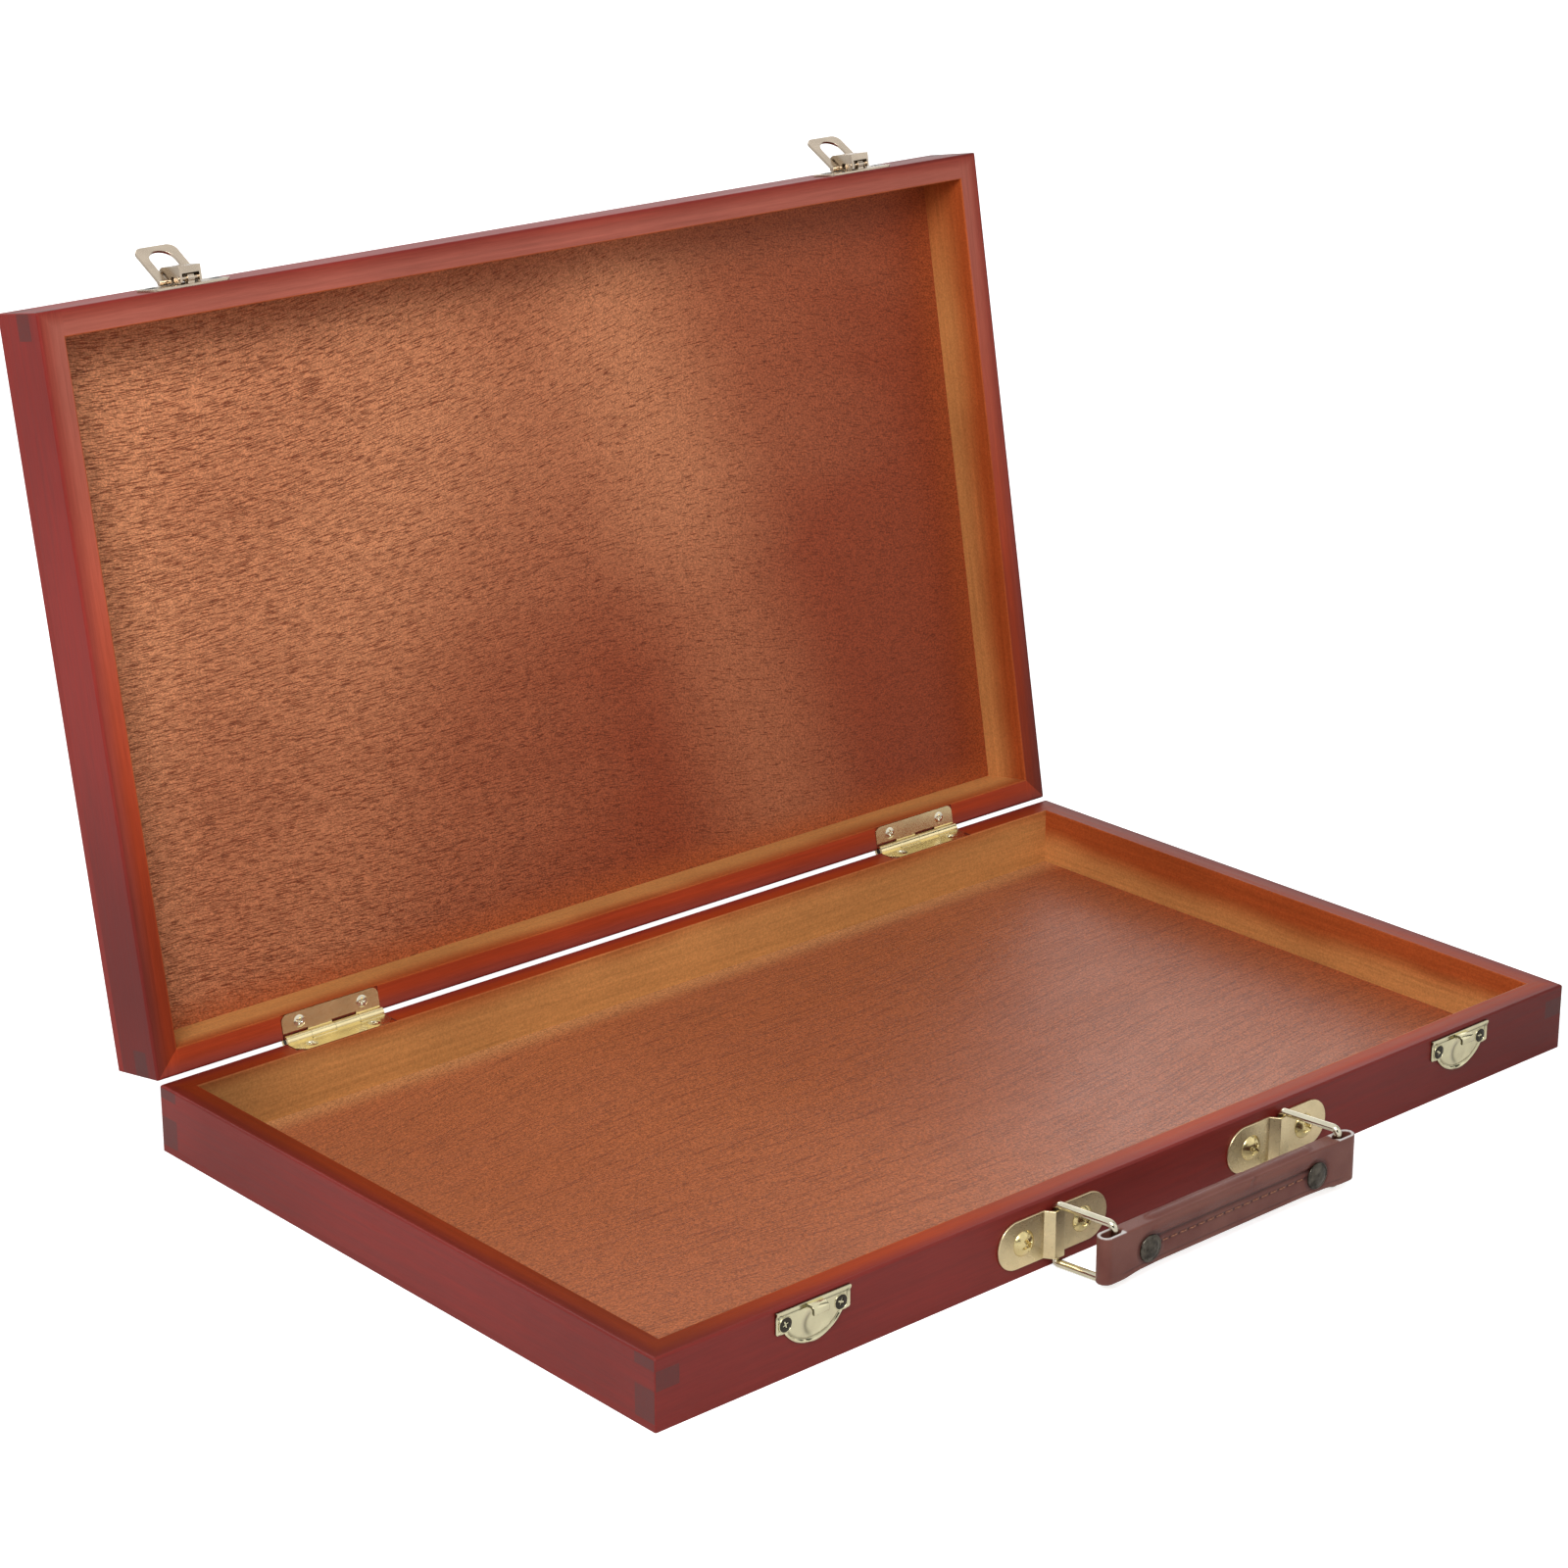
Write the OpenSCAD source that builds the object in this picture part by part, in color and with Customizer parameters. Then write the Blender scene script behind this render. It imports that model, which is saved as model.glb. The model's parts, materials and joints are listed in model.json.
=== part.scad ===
// Wooden art supply box: two shallow finger-jointed trays joined by a pair of butt hinges,
// closed by two draw latches and carried by a leather grip on swinging wire links.
// The box stands open. The origin is the centre of its underside, +X runs along the front
// to the right, +Y goes to the rear and +Z up.

/* [Case] */
// Length of the case from side to side
case_w = 400; // [340:1:520]
// Depth of the case from its front face to its rear face
case_d = 245.5; // [200:0.5:340]
// Height of the base tray
base_h = 23; // [22.6:0.1:40]
// Height of the lid tray
lid_h = 23.6; // [20:0.1:40]
// Thickness of the solid wood rails
rail_t = 8.8; // [8.6:0.1:14]
// Thickness of the plywood bottom panel
base_panel_t = 2.5; // [2:0.1:4]
// Thickness of the plywood lid panel
lid_panel_t = 3.3; // [2:0.1:4]
// Radius of the upright outer corners
corner_r = 2.2; // [0.5:0.1:4]
// Gap between the two rims when the box is shut
lid_gap = 0.8; // [0.6:0.05:1.4]
// Angle at which the open lid stops
lid_open = 100.2; // [92:0.1:110]

/* [Finger joints] */
// Distance from the base rim down to the side rail's finger
base_finger_drop = 4.1; // [3:0.1:6]
// Height of the side rail's finger in the base
base_finger_h = 6.2; // [4:0.1:9]
// Distance from the lid rim up to the long rail's finger
lid_finger_rise = 5.2; // [3:0.1:6]
// Height of the long rail's finger in the lid
lid_finger_h = 7.3; // [4:0.1:9]

/* [Hinges] */
// Distance from each end of the case to the middle of its hinge
hinge_inset = 67.8; // [40:0.1:90]
// Length of a hinge leaf
hinge_l = 38.6; // [32:0.1:50]
// Reach of a leaf onto the rail, from the rear face
hinge_leaf_w = 8.4; // [7:0.1:8.5]
// Thickness of the leaf metal
hinge_leaf_t = 0.8; // [0.6:0.05:1]
// Gap between the two leaves when the box is shut
hinge_leaf_gap = 0.5; // [0.3:0.05:0.7]
// Radius of the hinge barrel
hinge_barrel_r = 2; // [1.9:0.05:2.4]
// Radius of the hinge pin
hinge_pin_r = 1; // [0.8:0.05:1.1]
// Distance of the hinge pin behind the rear face
hinge_back = 0.4; // [0.3:0.05:1.2]
// Chamfer on the base leaf's far corners
hinge_leaf_chamfer = 3; // [1:0.1:4]
// Radius of the lid leaf's far corners
hinge_leaf_r = 2.5; // [1:0.1:4]
// Reach of the lid knuckle's stop under the base leaf, from the pin
hinge_stop_reach = 3.1; // [3:0.05:3.2]
// Distance of each hinge screw from the hinge middle
hinge_screw_x = 12.5; // [10:0.1:14]
// Distance of the hinge screws from the rear face
hinge_screw_y = 5.1; // [5:0.05:5.6]
// Radius of a hinge screw's head
hinge_screw_head_r = 2.1; // [1.8:0.05:2.2]
// Length of a hinge screw
hinge_screw_len = 10; // [7:0.5:12]

/* [Catch plates] */
// Distance from the left end of the case to its latch
latch_inset_left = 58.1; // [40:0.1:90]
// Distance from the right end of the case to its latch
latch_inset_right = 55; // [40:0.1:90]
// Width of a catch plate
catch_w = 28.4; // [27.6:0.1:32]
// Thickness of a catch plate
catch_t = 0.9; // [0.6:0.05:1]
// Distance from the base rim down to the plate's straight top edge
catch_drop = 1.1; // [0.5:0.1:2]
// Radius of the plate's round lower edge
catch_r = 13.3; // [12.5:0.1:14]
// Height of the plate's square ears
catch_ear_h = 7.2; // [6.6:0.1:8]
// Height of the turned-out top edge above the plate
catch_flange_h = 0.2; // [0.1:0.05:0.3]
// Radius of the pressed dish under the hook
catch_dish_r = 5.2; // [4:0.1:6]
// Width of the hook
hook_w = 5.2; // [4:0.1:7]
// Thickness of the hook metal
hook_t = 0.9; // [0.7:0.05:1.1]
// Reach of the hook out from the wood
hook_reach = 3.9; // [3.7:0.05:4.6]
// Length of the hook's turned-down lip
hook_lip = 1.5; // [1:0.1:2]
// Distance from the plate's top edge down to the hook
hook_drop = 1; // [0.8:0.1:2]
// Distance of each catch screw from the plate middle
catch_screw_x = 10.6; // [10.5:0.05:11]
// Distance of the catch screws below the plate's top edge
catch_screw_drop = 4.6; // [3.5:0.1:5]

/* [Latches] */
// Width of a latch base plate
latch_w = 30; // [29.5:0.1:36]
// Height of a latch base plate along the lid
latch_h = 12; // [11:0.1:14]
// Distance from the lid rim to the base plate
latch_rise = 1.5; // [1:0.1:2.5]
// Thickness of the base plate
latch_t = 0.8; // [0.6:0.05:1]
// Distance of each latch screw from the latch middle
latch_screw_x = 12.1; // [12:0.05:13]
// Width of the lever
lever_w = 8; // [6.5:0.1:8.2]
// Length of the lever
lever_l = 12.5; // [12:0.1:14]
// Height of the lever's top above the wood
lever_h = 6.5; // [6:0.1:7.5]
// Thickness of the lever metal
lever_t = 0.8; // [0.6:0.05:1]
// Radius of the lever's rounded thumb end
lever_end_r = 3; // [2:0.1:3.5]
// Distance of the lever pin from the lid rim
lever_pin_rise = 3.6; // [3.5:0.05:4]
// Distance of the lever pin out from the wood
lever_pin_out = 2.6; // [2.5:0.05:3]
// Radius of the lever pin
lever_pin_r = 0.7; // [0.5:0.05:0.9]
// Distance from the lever pin to the loop's bar
loop_arm = 6; // [5.5:0.1:7]
// Distance of the loop's bar out from the wood
loop_out = 1.95; // [1.9:0.05:2.2]
// Thickness of the loop plate
loop_t = 1; // [0.8:0.05:1.2]
// Width of the loop plate
loop_w = 15.4; // [14.5:0.1:15.6]
// Width of the loop's opening
loop_hole_w = 9.2; // [9:0.1:9.6]
// Width of the loop's far band
loop_band = 2.4; // [2:0.1:3]
// Radius of the loop's bar
loop_bar_r = 0.75; // [0.6:0.05:0.85]
// Angle at which the open loop leans back over the lever
loop_lean = 39; // [34:1:44]

/* [Handle] */
// Distance of the handle's middle from the case middle
handle_shift = 4.9; // [-10:0.1:10]
// Distance between the two handle plates
handle_pitch = 100.5; // [90:0.5:140]
// Width of a handle plate
handle_plate_w = 46; // [42:0.1:54]
// Height of a handle plate
handle_plate_h = 15.7; // [14:0.1:16]
// Thickness of a handle plate
handle_plate_t = 0.8; // [0.6:0.05:1.2]
// Distance of each handle plate screw from the plate middle
handle_screw_x = 12.5; // [11:0.1:15]
// Radius of a handle plate screw's head
handle_screw_head_r = 4.2; // [3.5:0.1:4.5]
// Diameter of the link wire
wire_d = 2.5; // [2:0.1:2.6]
// Distance from the link's channel leg to its far leg
link_reach = 21.5; // [20:0.1:26]
// Radius of the link's bends
link_bend_r = 2; // [1.8:0.1:2.6]
// Sideways swing at which the handle rests
handle_rest = 8; // [0:1:15]

/* [Grip] */
// Thickness of the grip leather
leather_t = 1.2; // [0.9:0.1:1.5]
// Reach of the leather loop beyond the link's far leg
grip_over = 6.3; // [5:0.1:8]
// Length of the leather loop's pocket inboard of the far leg
grip_pocket = 7.2; // [5:0.1:9]
// Radius of the padded roll along the grip's top
grip_roll_r = 3.2; // [3:0.05:3.6]
// Length of the padded roll
grip_roll_l = 82; // [60:1:84]
// Drop of the leather loops below the padded roll
grip_loop_drop = 0.35; // [0.2:0.05:1]
// Distance of the rivets from the grip's middle
rivet_x = 37.5; // [30:0.1:38]
// Height of the rivets above the grip's lower edge
rivet_rise = 6.8; // [6:0.1:7.5]
// Radius of a rivet's head
rivet_head_r = 4.4; // [3.5:0.1:4.6]
// Spacing of the stitches
stitch_pitch = 4.05; // [3:0.05:6]

/* [Hidden] */
$fn = 48;

// Running clearance of pins in their bores
pin_gap = 0.05;
// Clearance of screws in their holes
screw_gap = 0.05;
// Seat clearance between a moving piece and what it rests on
seat_gap = 0.15;
// Clearance of the hinge leaves in their mortises
mortise_gap = 0.15;
// Overshoot of a cut past the face that it opens
cut = 1;
// Sides of the case
LEFT = -1;
RIGHT = 1;

// Wood
front_y = -case_d / 2;
rear_y = case_d / 2;
rim_z = base_h + lid_gap;
lid_top_z = rim_z + lid_h;

// Hinges
axis_y = rear_y + hinge_back;
axis_z = base_h + lid_gap / 2;
hinge_x = case_w / 2 - hinge_inset;
knuckle_n = 4;
knuckle_l = hinge_l / knuckle_n;
knuckle_gap = 0.1;
leaf_face = hinge_leaf_gap / 2;
leaf_under = leaf_face + hinge_leaf_t;
notch_clear = 0.7;
notch_r = hinge_barrel_r + notch_clear;
barrel_clear = 0.3;
barrel_pocket_r = hinge_barrel_r + barrel_clear;
stop_t = 0.6;
stop_gap = 0.05;
stop_low = leaf_under + stop_gap + stop_t;
stop_clear = 0.2;
stop_short = 0.6;
stop_pocket_r = norm([hinge_stop_reach, stop_low]) + stop_clear;
stop_bead_r = 0.45;
hinge_shank_r = 1.1;

// Catches and latches
latch_x = [-case_w / 2 + latch_inset_left, case_w / 2 - latch_inset_right];
catch_top = base_h - catch_drop;
catch_flange_w = 1;
catch_dish_drop = 7.4;
catch_dish_t = 0.3;
hook_top = catch_top - hook_drop;
hook_under = hook_top - hook_t;
small_head_r = 2.3;
small_shank_r = 1.1;
small_screw_len = 7.5;
latch_corner_r = 3;
flat_slot_w = 0.5;
flat_slot_h = 0.6;
dome_slot_w = 0.8;
dome_slot_h = 1.1;
latch_screw_rise = latch_rise + latch_h / 2;
lever_front = lever_pin_rise - 1.2;
lever_back = lever_front + lever_l;
lever_low = latch_t + seat_gap;
lever_front_low = lever_pin_out - 1.1;
lever_band = 2.3;
tongue_w = 2.4;
tongue_clear = 0.3;
tongue_r = lever_pin_out - latch_t - tongue_clear;
lever_pin_ends = 0.7;
lever_pin_l = lever_w + lever_pin_ends;
bar_rise = lever_pin_rise + loop_arm;
window_l = 1.9;
window_h = 2.4;
window_web = 0.7;
window_rise = bar_rise - loop_bar_r - window_l - window_web;
loop_curl_t = 0.2;
loop_curl_r = loop_bar_r + loop_curl_t;
hole_r = loop_hole_w / 2;
hook_seat = hole_r - sqrt(pow(hole_r, 2) - pow(hook_w / 2 + seat_gap, 2));
hook_play = 0.05;
loop_hole_end = ceil(10 * (rim_z + bar_rise - hook_under + hook_seat + hook_play)) / 10;
loop_end = loop_hole_end + loop_band;
loop_corner_r = 3;
lug_r = 0.6;
lug_along = 5.2;
lug_gap = 0.08;
lug_below = loop_t / 2 + lug_r + lug_gap;
lug_rise = bar_rise + lug_along * cos(loop_lean) + lug_below * sin(loop_lean);
lug_out = loop_out + lug_along * sin(loop_lean) - lug_below * cos(loop_lean);
lug_reach = 1;

// Handle
wire_r = wire_d / 2;
wire_gap = 0.2;
channel_half = wire_r + wire_gap;
channel_in = wire_d + 2 * wire_gap;
channel_out = channel_in + handle_plate_t;
channel_slope = 2;
channel_wall = 0.55;
wire_out = wire_r + wire_gap;
handle_z = base_h / 2;
link_top_z = handle_z + handle_plate_h / 2 + seat_gap + wire_r;
link_low_gap = 0.8;
link_low_z = handle_z - handle_plate_h / 2 - link_low_gap - wire_r;
handle_x = [handle_shift - handle_pitch / 2, handle_shift + handle_pitch / 2];
handle_shank_r = 1.7;
handle_screw_len = 8;
handle_head_h = 2.2;

// Grip
grip_x = handle_shift + link_reach * sin(handle_rest);
grip_hang = 0.2;
grip_y = front_y - wire_out - link_reach * cos(handle_rest) - grip_hang;
grip_low_gap = 0.25;
grip_low = link_low_z + wire_r + grip_low_gap;
grip_high_gap = 0.3;
grip_high = link_top_z - wire_r - grip_high_gap;
loop_high = grip_high - grip_loop_drop;
pocket_play = 0.4;
pocket_half = wire_r + pocket_play;
band_half = pocket_half + leather_t;
grip_half = handle_pitch / 2 + grip_over;
core_half = handle_pitch / 2 - grip_pocket;
core_gap = 0.05;
core_inset = 0.4;
roll_z = grip_high - grip_roll_r;
roll_core_r = grip_roll_r - leather_t;
rivet_z = grip_low + rivet_rise;
rivet_head_h = 0.9;
rivet_shank_r = 1.5;
rivet_cap_inset = 0.4;
rivet_cap_r = rivet_head_r - rivet_cap_inset;
rivet_cap_h = 0.7;
stitch_r = 0.28;
stitch_lift = 0.4;
stitch_z = rivet_z + stitch_lift;
stitch_share = 0.75;
stitch_l = stitch_pitch * stitch_share;
stitch_span = 2 * (rivet_x - rivet_head_r - stitch_pitch / 2);
stitch_n = floor(stitch_span / stitch_pitch) + 1;

// Colours
c_rail = "#7d3c34";
c_panel = "#a2623c";
c_brass = "#c9b98c";
c_screw = "#9a8d66";
c_leather = "#6e4541";
c_core = "#8d7a6c";
c_rivet = "#5a5f5c";
c_thread = "#b98a6a";

// ---- helpers

module rounded_rect(w, d, r) {
    square([w - 2 * r, d], center = true);
    square([w, d - 2 * r], center = true);
    for (sx = [-1, 1], sy = [-1, 1])
        translate([sx * (w / 2 - r), sy * (d / 2 - r)]) circle(r);
}

// Swings lid pieces, drawn shut, back to the open stop
module opened() {
    translate([0, axis_y, axis_z]) rotate([-lid_open, 0, 0])
        translate([0, -axis_y, -axis_z]) children();
}

// Local X, up and outward become X, Z and -Y on the front face
module on_front(x, z) {
    translate([x, front_y, z]) rotate([90, 0, 0]) children();
}

// Local X, Y and Z become Y, Z and X, for side profiles
module side_profile(w) {
    rotate([90, 0, 90]) translate([0, 0, -w / 2]) linear_extrude(w) children();
}

module rod_x(r, l) {
    rotate([0, 90, 0]) cylinder(r = r, h = l, center = true);
}

module dome(r, h) {
    ball_r = (r * r + h * h) / (2 * h);
    rotate_extrude() intersection() {
        translate([0, h - ball_r]) circle(ball_r, $fn = 240);
        square([2 * r, 2 * h]);
    }
}

module cross_slot(w, l, depth) {
    for (turn = [0, 90])
        rotate(turn) translate([-l / 2, -w / 2, -depth]) cube([l, w, depth + cut]);
}

// Countersunk screw with its head flush at z = 0, pointing down
module flat_screw(head_r, shank_r, len) {
    cone_h = head_r - shank_r;
    tip_h = 2 * shank_r;
    difference() {
        union() {
            translate([0, 0, -cone_h]) cylinder(r1 = shank_r, r2 = head_r, h = cone_h);
            translate([0, 0, tip_h - len]) cylinder(r = shank_r, h = len - tip_h - cone_h);
            translate([0, 0, -len]) cylinder(r1 = shank_r / 4, r2 = shank_r, h = tip_h);
        }
        cross_slot(flat_slot_w, head_r + small_shank_r / 4, flat_slot_h);
    }
}

module flat_screw_hole(head_r, shank_r, len) {
    cone_h = head_r - shank_r;
    translate([0, 0, -cone_h])
        cylinder(r1 = shank_r + screw_gap, r2 = head_r + screw_gap, h = cone_h);
    translate([0, 0, -len - screw_gap]) cylinder(r = shank_r + screw_gap, h = len);
    cylinder(r = head_r + screw_gap, h = cut);
}

// Domed screw seated at z = 0, pointing down
module pan_screw(head_r, head_h, shank_r, len) {
    tip_h = 2 * shank_r;
    difference() {
        union() {
            dome(head_r, head_h);
            translate([0, 0, tip_h - len]) cylinder(r = shank_r, h = len - tip_h);
            translate([0, 0, -len]) cylinder(r1 = shank_r / 4, r2 = shank_r, h = tip_h);
        }
        translate([0, 0, head_h]) cross_slot(dome_slot_w, head_r, dome_slot_h);
    }
}

module pan_screw_hole(shank_r, len) {
    translate([0, 0, -len - screw_gap]) cylinder(r = shank_r + screw_gap, h = len + cut);
}

// ---- wooden trays

// Blocks at the four corners between two heights, open to the outside
module corner_blocks(z0, z1) {
    for (sx = [-1, 1], sy = [-1, 1])
        translate([sx * (case_w - rail_t + cut) / 2, sy * (case_d - rail_t + cut) / 2, (z0 + z1) / 2])
            cube([rail_t + cut, rail_t + cut, z1 - z0], center = true);
}

module tray_block(z0, z1) {
    translate([0, 0, z0]) linear_extrude(z1 - z0) rounded_rect(case_w, case_d, corner_r);
}

// Rail along the front (side -1) or the rear (side 1)
module long_rail(side, z0, z1) {
    intersection() {
        tray_block(z0, z1);
        translate([0, side * (case_d - rail_t) / 2, (z0 + z1) / 2])
            cube([case_w + cut, rail_t, z1 - z0 + cut], center = true);
    }
}

// Rail at the left (side -1) or the right (side 1)
module short_rail(side, z0, z1) {
    intersection() {
        tray_block(z0, z1);
        translate([side * (case_w - rail_t) / 2, 0, (z0 + z1) / 2])
            cube([rail_t, case_d + cut, z1 - z0 + cut], center = true);
    }
}

base_finger_z = [base_h - base_finger_drop - base_finger_h, base_h - base_finger_drop];
lid_finger_z = [rim_z + lid_finger_rise, rim_z + lid_finger_rise + lid_finger_h];
lid_panel_z = lid_top_z - lid_panel_t;

module base_long_rail(side) {
    difference() {
        long_rail(side, base_panel_t, base_h);
        corner_blocks(base_finger_z[0], base_finger_z[1]);
    }
}

module base_short_rail(side) {
    color(c_rail) difference() {
        short_rail(side, base_panel_t, base_h);
        corner_blocks(0, base_finger_z[0]);
        corner_blocks(base_finger_z[1], base_h + cut);
    }
}

module lid_long_rail(side) {
    difference() {
        long_rail(side, rim_z, lid_panel_z);
        corner_blocks(rim_z - cut, lid_finger_z[0]);
        corner_blocks(lid_finger_z[1], lid_top_z);
    }
}

module lid_short_rail(side) {
    color(c_rail) opened() difference() {
        short_rail(side, rim_z, lid_panel_z);
        corner_blocks(lid_finger_z[0], lid_finger_z[1]);
    }
}

module base_front_rail() {
    color(c_rail) difference() {
        base_long_rail(-1);
        catch_screw_places() flat_screw_hole(small_head_r, small_shank_r, small_screw_len);
        handle_screw_places() pan_screw_hole(handle_shank_r, handle_screw_len);
    }
}

module base_back_rail() {
    color(c_rail) difference() {
        base_long_rail(1);
        hinge_mortises(LEFT);
        hinge_mortises(RIGHT);
        barrel_pockets(stop_pocket_r);
        hinge_screw_places() flat_screw_hole(hinge_screw_head_r, hinge_shank_r, hinge_screw_len);
    }
}

module base_left_rail() base_short_rail(LEFT);
module base_right_rail() base_short_rail(RIGHT);

module base_bottom_panel() {
    color(c_panel) tray_block(0, base_panel_t);
}

module lid_front_rail() {
    color(c_rail) opened() difference() {
        lid_long_rail(-1);
        latch_screw_places() flat_screw_hole(small_head_r, small_shank_r, small_screw_len);
    }
}

module lid_back_rail() {
    color(c_rail) opened() difference() {
        lid_long_rail(1);
        over_axis() {
            hinge_mortises(LEFT);
            hinge_mortises(RIGHT);
            barrel_pockets(barrel_pocket_r);
            hinge_screw_places()
                flat_screw_hole(hinge_screw_head_r, hinge_shank_r, hinge_screw_len);
        }
    }
}

module lid_left_rail() lid_short_rail(LEFT);
module lid_right_rail() lid_short_rail(RIGHT);

module lid_top_panel() {
    color(c_panel) opened() tray_block(lid_panel_z, lid_top_z);
}

// ---- hinges

// Turns base hinge shapes over the pin, onto the shut lid
module over_axis() {
    translate([0, 0, axis_z]) mirror([0, 0, 1]) translate([0, 0, -axis_z]) children();
}

module hinge_screw_places() {
    for (side = [-1, 1], end = [-1, 1])
        translate([side * hinge_x + end * hinge_screw_x, rear_y - hinge_screw_y, axis_z - leaf_face])
            children();
}

module hinge_mortises(side) {
    l = hinge_l + 2 * mortise_gap;
    w = hinge_leaf_w + mortise_gap;
    translate([side * hinge_x - l / 2, rear_y - w, axis_z - leaf_under]) cube([l, w + cut, leaf_under]);
}

// Room for the barrel, with a wider scoop of radius stop_r where the lid's knuckles turn
module barrel_pockets(stop_r) {
    for (side = [-1, 1]) {
        translate([side * hinge_x, axis_y, axis_z])
            rod_x(barrel_pocket_r, hinge_l + 2 * mortise_gap);
        for (i = [1 : 2 : knuckle_n - 1])
            translate([knuckle_x(side, i), axis_y, axis_z]) rod_x(stop_r, knuckle_l);
    }
}

function knuckle_x(side, i) = side * hinge_x + (i + 0.5) * knuckle_l - hinge_l / 2;

// Even knuckles belong to the base leaf and odd ones to the lid leaf
module leaf_knuckles(side, first) {
    for (i = [first : 2 : knuckle_n - 1])
        translate([knuckle_x(side, i), axis_y, axis_z])
            rod_x(hinge_barrel_r, knuckle_l - knuckle_gap);
}

// Leaf outline seen from above, from the pin line forward onto the rail
module leaf_outline(corner) {
    reach = hinge_leaf_w + hinge_back;
    if (corner == "chamfered")
        polygon([
            [-hinge_l / 2, 0], [hinge_l / 2, 0],
            [hinge_l / 2, -reach + hinge_leaf_chamfer],
            [hinge_l / 2 - hinge_leaf_chamfer, -reach],
            [-hinge_l / 2 + hinge_leaf_chamfer, -reach],
            [-hinge_l / 2, -reach + hinge_leaf_chamfer]
        ]);
    else {
        translate([-hinge_l / 2, -reach / 2]) square([hinge_l, reach / 2]);
        translate([0, -reach / 2]) rounded_rect(hinge_l, reach, hinge_leaf_r);
    }
}

// A flat leaf with its knuckles, drawn as a base leaf
module leaf(side, first, corner) {
    difference() {
        union() {
            translate([side * hinge_x, axis_y, axis_z - leaf_under])
                linear_extrude(hinge_leaf_t) leaf_outline(corner);
            leaf_knuckles(side, first);
        }
        for (i = [1 - first : 2 : knuckle_n - 1])
            translate([knuckle_x(side, i), axis_y + cut - notch_r / 2, axis_z])
                cube([knuckle_l + knuckle_gap, notch_r + 2 * cut, 2 * notch_r], center = true);
        translate([side * hinge_x, axis_y, axis_z]) rod_x(hinge_pin_r + pin_gap, hinge_l + cut);
        hinge_screw_places()
            flat_screw_hole(hinge_screw_head_r, hinge_shank_r, hinge_screw_len);
    }
}

module hinge_base_leaf(side) {
    color(c_brass) leaf(side, 0, "chamfered");
}

// Tails of the lid's knuckles, which meet the base leaf from below at the open stop
module leaf_stops(side) {
    for (i = [1 : 2 : knuckle_n - 1])
        translate([knuckle_x(side, i), axis_y, axis_z]) difference() {
            w = knuckle_l - 2 * knuckle_gap;
            union() {
                translate([-w / 2, -hinge_stop_reach, -stop_low])
                    cube([w, hinge_stop_reach - stop_short, stop_t]);
                translate([0, -notch_r + stop_bead_r + pin_gap, -leaf_under + stop_bead_r])
                    rod_x(stop_bead_r, w);
            }
            rod_x(hinge_pin_r + pin_gap, w + cut);
        }
}

module hinge_lid_leaf(side) {
    color(c_brass) union() {
        opened() over_axis() leaf(side, 1, "rounded");
        leaf_stops(side);
    }
}

module hinge_pin(side) {
    color(c_brass) translate([side * hinge_x, axis_y, axis_z]) rod_x(hinge_pin_r, hinge_l);
}

module hinge_base_leaf_left() hinge_base_leaf(LEFT);
module hinge_base_leaf_right() hinge_base_leaf(RIGHT);
module hinge_lid_leaf_left() hinge_lid_leaf(LEFT);
module hinge_lid_leaf_right() hinge_lid_leaf(RIGHT);
module hinge_pin_left() hinge_pin(LEFT);
module hinge_pin_right() hinge_pin(RIGHT);

module hinge_base_screws() {
    color(c_screw) hinge_screw_places()
        flat_screw(hinge_screw_head_r, hinge_shank_r, hinge_screw_len);
}

module hinge_lid_screws() {
    color(c_screw) opened() over_axis() hinge_screw_places()
        flat_screw(hinge_screw_head_r, hinge_shank_r, hinge_screw_len);
}

// ---- catch plates on the base

module catch_screw_places() {
    for (x = latch_x, end = [-1, 1])
        on_front(x + end * catch_screw_x, catch_top - catch_screw_drop)
            translate([0, 0, catch_t]) children();
}

module catch_outline() {
    translate([-catch_w / 2, -catch_ear_h]) square([catch_w, catch_ear_h]);
    intersection() {
        circle(catch_r);
        translate([-catch_r, -catch_r]) square([2 * catch_r, catch_r]);
    }
}

// Side profile of the hook: out from the wood and turned down at the end
module hook_profile() {
    translate([hook_t - hook_reach, hook_under]) square([hook_reach - hook_t, hook_t]);
    translate([-hook_reach, hook_under - hook_lip]) square([hook_t, hook_lip]);
    intersection() {
        translate([hook_t - hook_reach, hook_under]) circle(hook_t);
        translate([-hook_reach, hook_under]) square([hook_t, hook_t]);
    }
}

module catch_plate(i) {
    color(c_brass) difference() {
        union() {
            on_front(latch_x[i], catch_top) {
                linear_extrude(catch_t) catch_outline();
                translate([-catch_w / 2, -catch_flange_w, 0])
                    cube([catch_w, catch_flange_w, catch_t + catch_flange_h]);
            }
            translate([latch_x[i], front_y, 0]) side_profile(hook_w) hook_profile();
        }
        difference() {
            on_front(latch_x[i], catch_top - catch_dish_drop)
                translate([0, 0, catch_t - catch_dish_t])
                    cylinder(r = catch_dish_r, h = catch_dish_t + cut);
            translate([latch_x[i] - catch_w, front_y - hook_reach - cut, hook_under - hook_lip])
                cube([2 * catch_w, hook_reach + cut, catch_w]);
        }
        catch_screw_places() flat_screw_hole(small_head_r, small_shank_r, small_screw_len);
    }
}

module catch_plate_left() catch_plate(0);
module catch_plate_right() catch_plate(1);

module catch_screws() {
    color(c_screw) catch_screw_places()
        flat_screw(small_head_r, small_shank_r, small_screw_len);
}

// ---- latches on the lid, drawn on the shut lid

module latch_screw_places() {
    for (x = latch_x, end = [-1, 1])
        on_front(x + end * latch_screw_x, rim_z + latch_screw_rise)
            translate([0, 0, latch_t]) children();
}

// Puts a shape drawn about the pin or bar, across the front, at a rise and a distance out
module at_latch(i, rise, out) {
    translate([latch_x[i], front_y - out, rim_z + rise]) children();
}

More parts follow.
